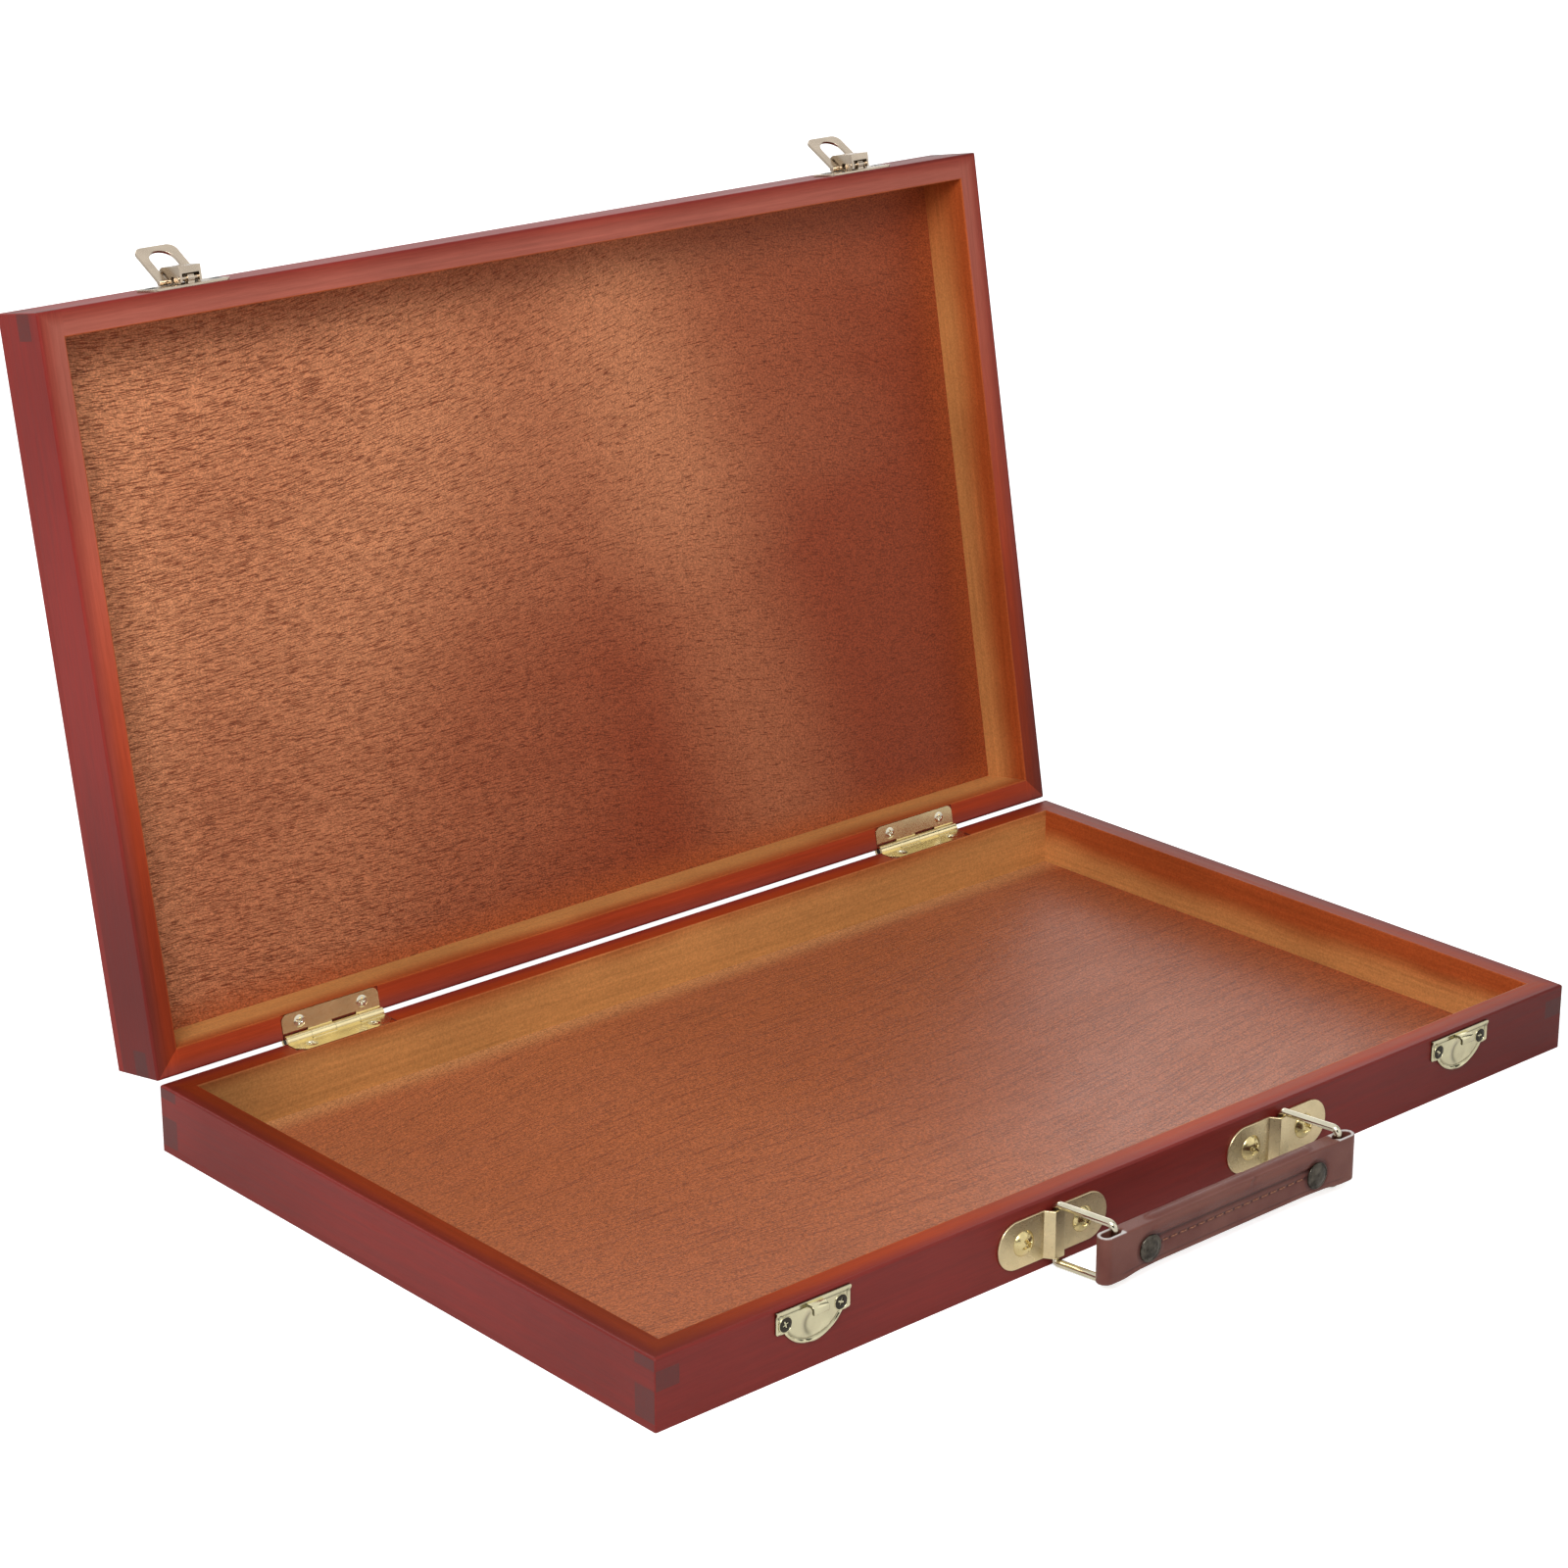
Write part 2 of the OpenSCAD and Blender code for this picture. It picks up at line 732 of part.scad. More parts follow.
module latch_base(i) {
    color(c_brass) opened() difference() {
        union() {
            on_front(latch_x[i], rim_z + latch_screw_rise) linear_extrude(latch_t)
                rounded_rect(latch_w, latch_h, latch_corner_r);
            at_latch(i, lever_pin_rise, lever_pin_out) rod_x(tongue_r, tongue_w);
            at_latch(i, lever_pin_rise, lever_pin_out)
                translate([-tongue_w / 2, 0, -tongue_r + lever_pin_r / 2])
                    cube([tongue_w, lever_pin_out - latch_t / 2, 2 * tongue_r - lever_pin_r]);
        }
        at_latch(i, lever_pin_rise, lever_pin_out)
            rod_x(lever_pin_r + pin_gap, tongue_w + cut);
        latch_screw_places() flat_screw_hole(small_head_r, small_shank_r, small_screw_len);
    }
}

// Side profile of the lever, as distance out from the wood and rise from the rim
module lever_profile(inset) {
    front = lever_front + inset;
    back = lever_back - inset;
    top = lever_h - inset;
    r = lever_end_r - inset;
    translate([-top, front]) square([top - lever_front_low, back - r - front]);
    translate([-top + r, lever_pin_rise]) square([top - r - lever_low, back - lever_pin_rise]);
    intersection() {
        translate([-top + r, back - r]) circle(r);
        translate([-top, back - r]) square(r);
    }
}

module latch_lever(i) {
    inner_w = lever_w - 2 * lever_t;
    color(c_brass) opened() translate([latch_x[i], front_y, rim_z]) difference() {
        union() {
            side_profile(lever_w) lever_profile(0);
            translate([0, -lug_out, lug_rise]) rod_x(lug_r, lever_w + 2 * lug_reach);
        }
        // hollow under the top, open towards the wood
        side_profile(inner_w) {
            lever_profile(lever_t);
            translate([-lever_h + lever_end_r, lever_front + lever_t])
                square([lever_h - lever_end_r + cut, lever_l - 2 * lever_t]);
        }
        // window in the front face, below its top band
        translate([-inner_w / 2, -lever_h + lever_band, lever_front - cut])
            cube([inner_w, lever_h, 2 * cut + lever_t]);
        // window in each cheek
        translate([-lever_w, -lever_low - window_h, window_rise])
            cube([2 * lever_w, window_h - lever_t / 2, window_l]);
        translate([0, -lever_pin_out, lever_pin_rise])
            rod_x(lever_pin_r + pin_gap, lever_w + cut);
        translate([0, -loop_out, bar_rise]) rod_x(loop_bar_r + pin_gap, lever_w + cut);
    }
}

module latch_pin(i) {
    color(c_brass) opened() at_latch(i, lever_pin_rise, lever_pin_out)
        rod_x(lever_pin_r, lever_pin_l);
}

// Loop plate seen face on, with the bar along the bottom
module loop_outline() {
    difference() {
        translate([0, loop_end / 2]) rounded_rect(loop_w, loop_end, loop_corner_r);
        translate([-loop_hole_w / 2, -cut])
            square([loop_hole_w, loop_hole_end - hole_r + cut]);
        translate([0, loop_hole_end - hole_r]) circle(hole_r);
    }
    for (side = [-1, 1])
        translate([side * (loop_w + loop_hole_w) / 4, loop_corner_r / 2])
            square([(loop_w - loop_hole_w) / 2, loop_corner_r], center = true);
}

module latch_loop(i) {
    leg_w = (loop_w - loop_hole_w) / 2;
    color(c_brass) opened() at_latch(i, bar_rise, loop_out) rotate([loop_lean, 0, 0]) {
        rotate([90, 0, 0]) translate([0, 0, -loop_t / 2]) linear_extrude(loop_t) loop_outline();
        rod_x(loop_bar_r, loop_w);
        for (side = [-1, 1])
            translate([side * (loop_w - leg_w) / 2, 0, 0]) rod_x(loop_curl_r, leg_w);
    }
}

module latch_base_left() latch_base(0);
module latch_base_right() latch_base(1);
module latch_lever_left() latch_lever(0);
module latch_lever_right() latch_lever(1);
module latch_pin_left() latch_pin(0);
module latch_pin_right() latch_pin(1);
module latch_loop_left() latch_loop(0);
module latch_loop_right() latch_loop(1);

module latch_screws() {
    color(c_screw) opened() latch_screw_places()
        flat_screw(small_head_r, small_shank_r, small_screw_len);
}

// ---- handle

module handle_screw_places() {
    for (x = handle_x, end = [-1, 1])
        on_front(x + end * handle_screw_x, handle_z)
            translate([0, 0, handle_plate_t]) children();
}

// Plate seen from above: flat wings and a central channel for the wire
module plate_profile() {
    in_low = channel_half + channel_slope;
    out_low = in_low + channel_wall;
    out_high = channel_half + channel_wall;
    w = handle_plate_w / 2;
    polygon([
        [-w, 0], [-w, -handle_plate_t], [-out_low, -handle_plate_t],
        [-out_high, -channel_out], [out_high, -channel_out],
        [out_low, -handle_plate_t], [w, -handle_plate_t], [w, 0],
        [in_low, 0], [channel_half, -channel_in], [-channel_half, -channel_in], [-in_low, 0]
    ]);
}

module handle_plate(i) {
    r = handle_plate_h / 2;
    color(c_brass) difference() {
        intersection() {
            translate([handle_x[i], front_y, handle_z - r])
                linear_extrude(handle_plate_h) plate_profile();
            on_front(handle_x[i], handle_z) linear_extrude(channel_out + cut) {
                square([handle_plate_w - 2 * r, 2 * r], center = true);
                for (side = [-1, 1]) translate([side * (handle_plate_w / 2 - r), 0]) circle(r);
            }
        }
        handle_screw_places() pan_screw_hole(handle_shank_r, handle_screw_len);
    }
}

module handle_plate_left() handle_plate(0);
module handle_plate_right() handle_plate(1);

module handle_plate_screws() {
    color(c_screw) handle_screw_places()
        pan_screw(handle_screw_head_r, handle_head_h, handle_shank_r, handle_screw_len);
}

// One quarter bend of the wire, about its centre, starting at a turn
module wire_bend(y, z, turn) {
    rotate([90, 0, 90]) translate([y, z, 0]) rotate(turn)
        rotate_extrude(angle = 90) translate([link_bend_r, 0]) circle(wire_r);
}

module handle_link(i) {
    r = link_bend_r;
    color(c_brass) translate([handle_x[i], front_y - wire_out, 0]) rotate(handle_rest) {
        for (y = [0, -link_reach]) translate([0, y, link_low_z + r])
            cylinder(r = wire_r, h = link_top_z - link_low_z - 2 * r);
        for (z = [link_low_z, link_top_z]) translate([0, -r, z]) rotate([90, 0, 0])
            cylinder(r = wire_r, h = link_reach - 2 * r);
        wire_bend(-r, link_top_z - r, 0);
        wire_bend(r - link_reach, link_top_z - r, 90);
        wire_bend(r - link_reach, link_low_z + r, 180);
        wire_bend(-r, link_low_z + r, 270);
    }
}

module handle_link_left() handle_link(0);
module handle_link_right() handle_link(1);

// ---- leather grip

module slot_outline(half_l, half_w) {
    square([2 * (half_l - half_w), 2 * half_w], center = true);
    for (side = [-1, 1]) translate([side * (half_l - half_w), 0]) circle(half_w);
}

// Bar along X with round ends
module rounded_bar(l, r) {
    rod_x(r, l - 2 * r);
    for (side = [-1, 1]) translate([side * (l / 2 - r), 0, 0]) sphere(r);
}

module grip_band(low, high) {
    translate([grip_x, grip_y, low]) linear_extrude(high - low) slot_outline(grip_half, band_half);
}

// Filler slab between the leather layers and the cord in the roll, grown by a gap
module core_shape(gap) {
    translate([grip_x, grip_y, (grip_low + loop_high) / 2])
        cube([
            2 * (core_half + gap), 2 * (pocket_half - core_gap + gap),
            loop_high - grip_low - 2 * (core_inset - gap)
        ], center = true);
    translate([grip_x, grip_y, roll_z])
        rounded_bar(grip_roll_l - 2 * leather_t + 2 * gap, roll_core_r - core_gap + gap);
}

module rivet_places(out) {
    for (side = [-1, 1])
        translate([grip_x + side * rivet_x, grip_y - out * band_half, rivet_z])
            rotate([out * 90, 0, 0]) children();
}

module rivet_holes() {
    rivet_places(1) translate([0, 0, -2 * band_half - cut])
        cylinder(r = rivet_shank_r + pin_gap, h = 2 * band_half + 2 * cut);
}

module grip_cover() {
    color(c_leather) difference() {
        union() {
            grip_band(grip_low, loop_high);
            translate([grip_x, grip_y, roll_z]) rounded_bar(grip_roll_l, grip_roll_r);
        }
        // pockets for the links' far legs
        difference() {
            translate([grip_x, grip_y, grip_low - cut])
                linear_extrude(loop_high - grip_low + 2 * cut)
                    slot_outline(grip_half - leather_t, pocket_half);
            translate([grip_x, grip_y, roll_z])
                cube([2 * core_half, 4 * band_half, 4 * grip_high], center = true);
        }
        core_shape(core_gap);
        rivet_holes();
    }
}

module grip_core() {
    color(c_core) difference() {
        core_shape(0);
        rivet_holes();
    }
}

module grip_rivets() {
    color(c_rivet) rivet_places(1) {
        dome(rivet_head_r, rivet_head_h);
        translate([0, 0, -2 * band_half]) cylinder(r = rivet_shank_r, h = 2 * band_half);
    }
}

module grip_rivet_caps() {
    color(c_rivet) rivet_places(-1) dome(rivet_cap_r, rivet_cap_h);
}

module grip_stitching() {
    color(c_thread) for (k = [0 : stitch_n - 1], face = [-1, 1])
        translate([
            grip_x + (k - (stitch_n - 1) / 2) * stitch_pitch,
            grip_y + face * (band_half + stitch_r + pin_gap), stitch_z
        ])
            rod_x(stitch_r, stitch_l);
}

base_front_rail();
base_back_rail();
base_left_rail();
base_right_rail();
base_bottom_panel();
catch_plate_left();
catch_plate_right();
catch_screws();
handle_plate_left();
handle_plate_right();
handle_plate_screws();
hinge_base_leaf_left();
hinge_base_leaf_right();
hinge_base_screws();
hinge_pin_left();
hinge_pin_right();
lid_front_rail();
lid_back_rail();
lid_left_rail();
lid_right_rail();
lid_top_panel();
hinge_lid_leaf_left();
hinge_lid_leaf_right();
hinge_lid_screws();
latch_base_left();
latch_base_right();
latch_screws();
latch_lever_left();
latch_lever_right();
latch_pin_left();
latch_pin_right();
latch_loop_left();
latch_loop_right();
handle_link_left();
handle_link_right();
grip_cover();
grip_core();
grip_rivets();
grip_rivet_caps();
grip_stitching();
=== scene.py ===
import functools
import json
import math

import bmesh
import bpy
from mathutils import Matrix, Vector

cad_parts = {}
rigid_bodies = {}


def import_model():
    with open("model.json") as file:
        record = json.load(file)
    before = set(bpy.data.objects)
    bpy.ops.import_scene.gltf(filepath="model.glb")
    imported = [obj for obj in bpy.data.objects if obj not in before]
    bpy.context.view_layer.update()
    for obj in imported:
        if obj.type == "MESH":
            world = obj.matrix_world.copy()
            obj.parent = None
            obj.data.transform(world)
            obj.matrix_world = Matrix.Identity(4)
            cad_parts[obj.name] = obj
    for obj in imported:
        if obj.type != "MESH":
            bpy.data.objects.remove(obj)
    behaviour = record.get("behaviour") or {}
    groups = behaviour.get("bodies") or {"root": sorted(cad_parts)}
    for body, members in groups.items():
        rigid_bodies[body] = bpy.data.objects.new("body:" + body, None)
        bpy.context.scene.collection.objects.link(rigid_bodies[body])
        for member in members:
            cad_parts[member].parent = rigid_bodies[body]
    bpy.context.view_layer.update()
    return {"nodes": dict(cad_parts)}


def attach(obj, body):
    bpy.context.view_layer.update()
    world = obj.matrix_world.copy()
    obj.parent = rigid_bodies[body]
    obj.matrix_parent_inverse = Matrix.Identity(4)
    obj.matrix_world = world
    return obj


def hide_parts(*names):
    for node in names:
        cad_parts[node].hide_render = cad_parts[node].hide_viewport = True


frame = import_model()
scene = bpy.context.scene
print("frame loaded:", len(frame["nodes"]), "nodes")

mm = 0.001  # the frame is in metres, sizes below are in millimetres


def linear(hexColour):  # sRGB hex to linear RGBA
    parts = [int(hexColour[i:i + 2], 16) / 255 for i in (1, 3, 5)]
    return [c / 12.92 if c <= 0.04045 else ((c + 0.055) / 1.055) ** 2.4 for c in parts] + [1]


# values go by socket name or number, or as a list in socket order; a short kind is a shader node
def addNode(tree, kind, values=(), **settings):
    node = tree.nodes.new(kind if "Node" in kind else f"ShaderNode{kind}")
    for name, value in settings.items():
        setattr(node, name, value)
    for name, value in values.items() if isinstance(values, dict) else enumerate(values):
        if isinstance(value, bpy.types.Node):  # a node stands for its first output in use
            value = next(socket for socket in value.outputs if socket.enabled)
        if isinstance(value, bpy.types.NodeSocket):
            tree.links.new(value, node.inputs[name])
        else:
            node.inputs[name].default_value = value
    return node


smooth = {"interpolation_type": "SMOOTHSTEP"}  # settings that many nodes share
rgba = {"data_type": "RGBA"}


def newMaterial(name):
    material = bpy.data.materials.new(name)
    material.use_nodes = True
    material.node_tree.nodes.clear()
    return material, functools.partial(addNode, material.node_tree)


def addPiece(name, mesh, materials):
    piece = bpy.data.objects.new(name, mesh)
    scene.collection.objects.link(piece)
    for material in materials:
        mesh.materials.append(material)
    return piece


def addSheet(name, corners, material):
    mesh = bpy.data.meshes.new(name)
    mesh.from_pydata(corners, [], [range(4)])
    return addPiece(name, mesh, [material])


cameraSet = {  # place in metres
    "place": (-0.80314, -0.85348, 0.52967),
    "pitch": 19.719,  # degrees below the horizon
    "yaw": 41.677,  # degrees from +Y towards +X
    "focal": 89.13,  # on a square film, 36 mm wide
}


def makeCamera():
    data = bpy.data.cameras.new("camera")
    data.sensor_width = 36
    data.lens = cameraSet["focal"]
    data.clip_start = 0.02
    camera = bpy.data.objects.new("camera", data)
    camera.location = cameraSet["place"]
    camera.rotation_euler = math.radians(90 - cameraSet["pitch"]), 0, math.radians(-cameraSet["yaw"])
    scene.collection.objects.link(camera)
    scene.camera = camera


studio = {
    "worldLight": 0.42,
    "floorSize": 16,  # metres
    "floorColour": "#f2f2f2",
    "floorLift": 0.68,
    "aim": (0, 0, 0.1),
    "cards": [  # dark cards that give the metal something to reflect: place, width and height
        ((-2.0, -2.1, 1.3), 2.6, 1.5),
        ((1.7, -0.7, 1.3), 0.6, 1.8),
        ((-1.5, 1.9, 1.3), 0.7, 1.8),
    ],
    "lamps": {  # place and size in metres, power in watts
        "keyLamp": {"place": (-1.0, -0.75, 1.2), "size": 0.9, "power": 21},
        "fillLamp": {"place": (1.6, -1.4, 1.2), "size": 1.6, "power": 2},
        "backLamp": {"place": (-0.2, 1.8, 1.6), "size": 1.4, "power": 15},
        "sheenLamp": {"place": (1.45, 1.3, 0.85), "size": 0.9, "power": 2},
    },
}


def makeStudio():
    square = ((-1, -1), (1, -1), (1, 1), (-1, 1))
    world = bpy.data.worlds.new("studioAir")
    scene.world = world
    world.use_nodes = True
    world.node_tree.nodes.clear()
    node = functools.partial(addNode, world.node_tree)
    path = node("LightPath")
    seen = path.outputs["Is Camera Ray"]
    for ray in ("Is Glossy Ray", "Is Transmission Ray"):
        seen = node("Math", [seen, path.outputs[ray]], operation="MAXIMUM")
    strength = node("Mix", {0: seen, 2: studio["worldLight"], 3: 1.0})
    air = node("Background", {"Color": (1, 1, 1, 1), "Strength": strength})
    node("OutputWorld", {"Surface": air})

    paper, node = newMaterial("studioPaper")  # matt white paper, lifted a little for the camera only
    path = node("LightPath")
    matt = node("BsdfDiffuse", {"Color": linear(studio["floorColour"])})
    lift = node("Math", [path.outputs["Is Camera Ray"], studio["floorLift"]], operation="MULTIPLY")
    glow = node("Emission", {"Strength": lift})
    both = node("AddShader", [matt, glow])
    node("OutputMaterial", {"Surface": both})
    half = studio["floorSize"] / 2
    floor = addSheet("floor", [(x * half, y * half, 0) for x, y in square], paper)

    black, node = newMaterial("blackCard")
    matt = node("BsdfDiffuse", {"Color": linear("#101010")})
    node("OutputMaterial", {"Surface": matt})
    for k, (place, wide, high) in enumerate(studio["cards"]):
        turn = (Vector(studio["aim"]) - Vector(place)).to_track_quat("-Z", "Y").to_matrix()
        corners = [Vector(place) + turn @ Vector((x * wide / 2, y * high / 2, 0))
                   for x, y in square]
        card = addSheet(f"darkCard{k}", corners, black)
        card.visible_camera = False
        card.visible_shadow = False
        card.visible_diffuse = False

    for name, lamp in studio["lamps"].items():
        data = bpy.data.lights.new(name, "AREA")
        data.shape = "DISK"
        data.size = lamp["size"]
        data.energy = lamp["power"]
        light = bpy.data.objects.new(name, data)
        light.location = lamp["place"]
        aim = Vector(studio["aim"]) - light.location
        light.rotation_euler = aim.to_track_quat("-Z", "Y").to_euler()
        scene.collection.objects.link(light)


makeCamera()
makeStudio()
scene.view_settings.view_transform = "Standard"
print("studio ready")


case = {  # mm; half sizes, heights of the two rims and of the shut lid's top, and the hinge line
    "halfX": 200, "halfY": 122.75, "cornerR": 2.2, "wall": 8.8,
    "baseRim": 23, "lidRim": 23.6, "lidTop": 47.4,
    "hingeY": 123.15, "hingeZ": 23.4, "lidOpen": 100.2,  # degrees from shut
}
hingeAxis = Vector((0, case["hingeY"], case["hingeZ"])) * mm
opening = (Matrix.Translation(hingeAxis)
           @ Matrix.Rotation(math.radians(-case["lidOpen"]), 4, "X")
           @ Matrix.Translation(-hingeAxis))
closing = opening.inverted()


def bodyName(node):  # the body that a CAD node rides on
    return frame["nodes"][node].parent.name.split(":")[1]


def mergedCopy(node):  # a CAD node's surface, closed up
    bm = bmesh.new()
    bm.from_mesh(frame["nodes"][node].data)
    bmesh.ops.remove_doubles(bm, verts=bm.verts, dist=0.002 * mm)
    return bm


def settle(piece):  # modifiers become a plain mesh
    graph = bpy.context.evaluated_depsgraph_get()
    mesh = bpy.data.meshes.new_from_object(
        piece.evaluated_get(graph), preserve_all_data_layers=True, depsgraph=graph
    )
    piece.modifiers.clear()
    piece.data = mesh


def plainMesh(bm, name):
    mesh = bpy.data.meshes.new(name)
    bm.to_mesh(mesh)
    bm.free()
    return mesh


def smoothMesh(bm, name, sharpAngle=32):
    for face in bm.faces:
        face.smooth = True
    mesh = plainMesh(bm, name)
    mesh.set_sharp_from_angle(angle=math.radians(sharpAngle))
    return mesh


def bridge(bm, rings, closed=False):  # faces from ring to ring; a ring may be a single point
    for low, high in zip(rings, rings[1:] + rings[:1] if closed else rings[1:]):
        for k in range(max(len(low), len(high))):
            corners = [low[k % len(low)], low[(k + 1) % len(low)],
                       high[(k + 1) % len(high)], high[k % len(high)]]
            bm.faces.new(list(dict.fromkeys(corners)))


def roundPoints(centre, r, first, last, steps):  # an arc from one angle to another, in degrees
    for k in range(steps + 1):
        a = math.radians(first + (last - first) * k / steps)
        yield centre[0] + r * math.cos(a), centre[1] + r * math.sin(a)


def trayPlace(point, inLid):  # millimetres in the tray, up from its outer panel
    if inLid:
        point = closing @ point
    x, y, z = point / mm
    return Vector((x, y, case["lidTop"] - z if inLid else z))


railEdges = {  # mm; radii of the eased edges
    "cornerR": 0.5, "rimOuter": 0.9, "rimInner": 0.45, "foot": 0.15, "steps": 5, "cornerSteps": 8,
    "outside": 0.02,  # how far the trimming tray stands clear of flat faces
    "clear": 3,  # how far it runs past them where nothing is trimmed
}


def easedTray(inLid, hollow):  # a whole tray with eased edges, to trim one board with
    e = railEdges
    rim = (case["lidRim"] if inLid else case["baseRim"]) + e["outside"]
    wall, r, i, f = case["wall"], e["rimOuter"], e["rimInner"], e["foot"]
    if hollow:
        profile = [(0, -e["clear"])]
        profile += [(r - x, y) for x, y in roundPoints((0, rim - r), r, 0, 90, e["steps"])]
        profile += [(wall - i + x, y) for x, y in roundPoints((0, rim - i), i, 90, 0, e["steps"])]
        profile += [(wall + e["outside"], rim - i - 1), (wall + e["outside"], -e["clear"])]
    else:  # a panel is trimmed at its foot only
        profile = [(f - x, y) for x, y in roundPoints((0, f), f, 270, 360, e["steps"])]
        profile.append((0, rim + e["clear"]))
    rings = []
    bm = bmesh.new()
    c = e["cornerR"]
    for sx, sy, start in ((1, 1, 0), (-1, 1, 90), (-1, -1, 180), (1, -1, 270)):
        centre = (sx * (case["halfX"] - c), sy * (case["halfY"] - c))
        inner = Vector((sx * (case["halfX"] - wall), sy * (case["halfY"] - wall)))
        for out in roundPoints(centre, c + e["outside"], start, start + 90, e["cornerSteps"]):
            column = []
            for inset, height in profile:
                flat = Vector(out).lerp(inner, inset / wall)
                z = case["lidTop"] - height if inLid else height
                point = Vector((flat.x, flat.y, z)) * mm
                column.append(bm.verts.new(opening @ point if inLid else point))
            rings.append(column)
    count = len(profile)
    for column, following in zip(rings, rings[1:] + rings[:1]):
        for j in range(count if hollow else count - 1):
            m = (j + 1) % count
            bm.faces.new((column[j], following[j], following[m], column[m]))
    if not hollow:
        bm.faces.new([column[0] for column in rings])
        bm.faces.new([column[-1] for column in rings])
    bmesh.ops.remove_doubles(bm, verts=bm.verts, dist=0.0005 * mm)
    bmesh.ops.recalc_face_normals(bm, faces=bm.faces)
    return addPiece("easedTray", plainMesh(bm, "easedTray"), [])


def markWood(mesh, inLid, turn, along, seed):  # where each point lies in the tray and along its board
    tray = mesh.attributes.new("trayPlace", "FLOAT_VECTOR", "POINT")
    board = mesh.attributes.new("boardPlace", "FLOAT_VECTOR", "POINT")
    ends = mesh.attributes.new("endGrain", "FLOAT", "FACE")
    for v in mesh.vertices:
        place = trayPlace(v.co, inLid)
        tray.data[v.index].vector = place
        length, across = (place.x, place.y) if along == "x" else (place.y, place.x)
        board.data[v.index].vector = (length + 37 * seed, across + 53 * seed, place.z)
    for face in mesh.polygons:
        normal = turn @ face.normal
        ends.data[face.index].value = abs(normal.x if along == "x" else normal.y) > 0.9


def pieceName(node):  # base_left_rail becomes baseLeftRail
    return "".join(w.capitalize() if i else w for i, w in enumerate(node.split("_")))


def makeBoard(node, material, along, seed):
    inLid = bodyName(node) == "lid"
    bm = mergedCopy(node)
    wide, crisp = case["cornerR"], railEdges["cornerR"]
    for v in bm.verts:  # the tray's upright corners are worn to a small round only
        place = trayPlace(v.co, inLid)
        dx, dy = abs(place.x) - case["halfX"] + wide, abs(place.y) - case["halfY"] + wide
        if min(dx, dy) > -0.01 and math.hypot(dx, dy) > wide - 0.05:
            grow = (wide - crisp) * Vector((1 - dx / wide, 1 - dy / wide))
            shift = Vector((math.copysign(grow.x, place.x), math.copysign(grow.y, place.y), 0)) * mm
            v.co = opening @ (closing @ v.co + shift) if inLid else v.co + shift
    piece = addPiece(pieceName(node), plainMesh(bm, pieceName(node)), [material])
    tray = easedTray(inLid, "rail" in node)
    trim = piece.modifiers.new("easedEdges", "BOOLEAN")
    trim.operation = "INTERSECT"
    trim.solver = "EXACT"
    trim.object = tray
    settle(piece)
    bpy.data.objects.remove(tray)
    mesh = piece.data
    turn = closing.to_3x3() if inLid else Matrix.Identity(3)
    mesh.set_sharp_from_angle(angle=math.radians(32))
    for face in mesh.polygons:  # flat faces stay flat, only the eased edges are smooth
        face.use_smooth = max(abs(n) for n in turn @ face.normal) < 0.99999
    markWood(mesh, inLid, turn, along, seed)
    weighted = piece.modifiers.new("evenShading", "WEIGHTED_NORMAL")
    weighted.keep_sharp = True
    weighted.weight = 100
    settle(piece)
    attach(piece, bodyName(node))
    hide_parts(node)
    return piece


railStain = {  # mahogany stain airbrushed on pale poplar, then a thin satin lacquer
    "base": {"name": "stainedPoplarBase", "outer": "#75241e", "rim": "#9c3a17", "rimBack": "#9c3a17",
             "gloss": 0.14, "outerGloss": 0.21, "leftShade": 0.55, "backShade": 1, "gold": (-4, 7),
             "goldSide": (6, 16), "sideGold": 0.85, "goldFront": (-400, -300)},
    # the lid's rim colour holds a painted pinkish sheen at its front
    "lid": {"name": "stainedPoplarLid", "outer": "#832822", "rim": "#a0584a", "rimBack": "#a33c1e",
            "gloss": 0.1, "outerGloss": 0.14, "leftShade": 1, "backShade": 0.56, "gold": (-2, 12),
            "goldSide": (2, 16), "sideGold": 0.8, "goldFront": (-128, -60), "rimEdge": "#8c3c30",
            "rimRightShade": 0.95},
    # the rim edge colour is painted shade where the rim rounds over
    "rimEdge": "#842d22", "rightShade": 0.56, "rimRightShade": 0.72, "wallHigh": "#a24c23",
    "wallLow": "#c4894f", "endGrain": "#43302e", "endShare": 0.55, "roughness": 0.42,
    # ranges in mm: in from the outer face, then across the tray, then from its front to its back
    "edgeFade": (0.1, 1.6), "rimFade": (1, 6), "wallFade": (8, 8.75),
    "leftReach": (-196, -120), "rightReach": (20, 230), "rimRightReach": (60, 220),
    "rimSheenReach": (-130, 60), "backReach": (-20, 130),
    # length and width of the grain and of its pores, other sizes, and how strong each shows
    "grain": (70, 1.6), "pore": (7, 0.3), "blotchSize": 80, "speckSize": 0.8, "goldDrift": 2.5,
    "streak": 0.13, "blotch": 0.1, "speck": 0.16,
}


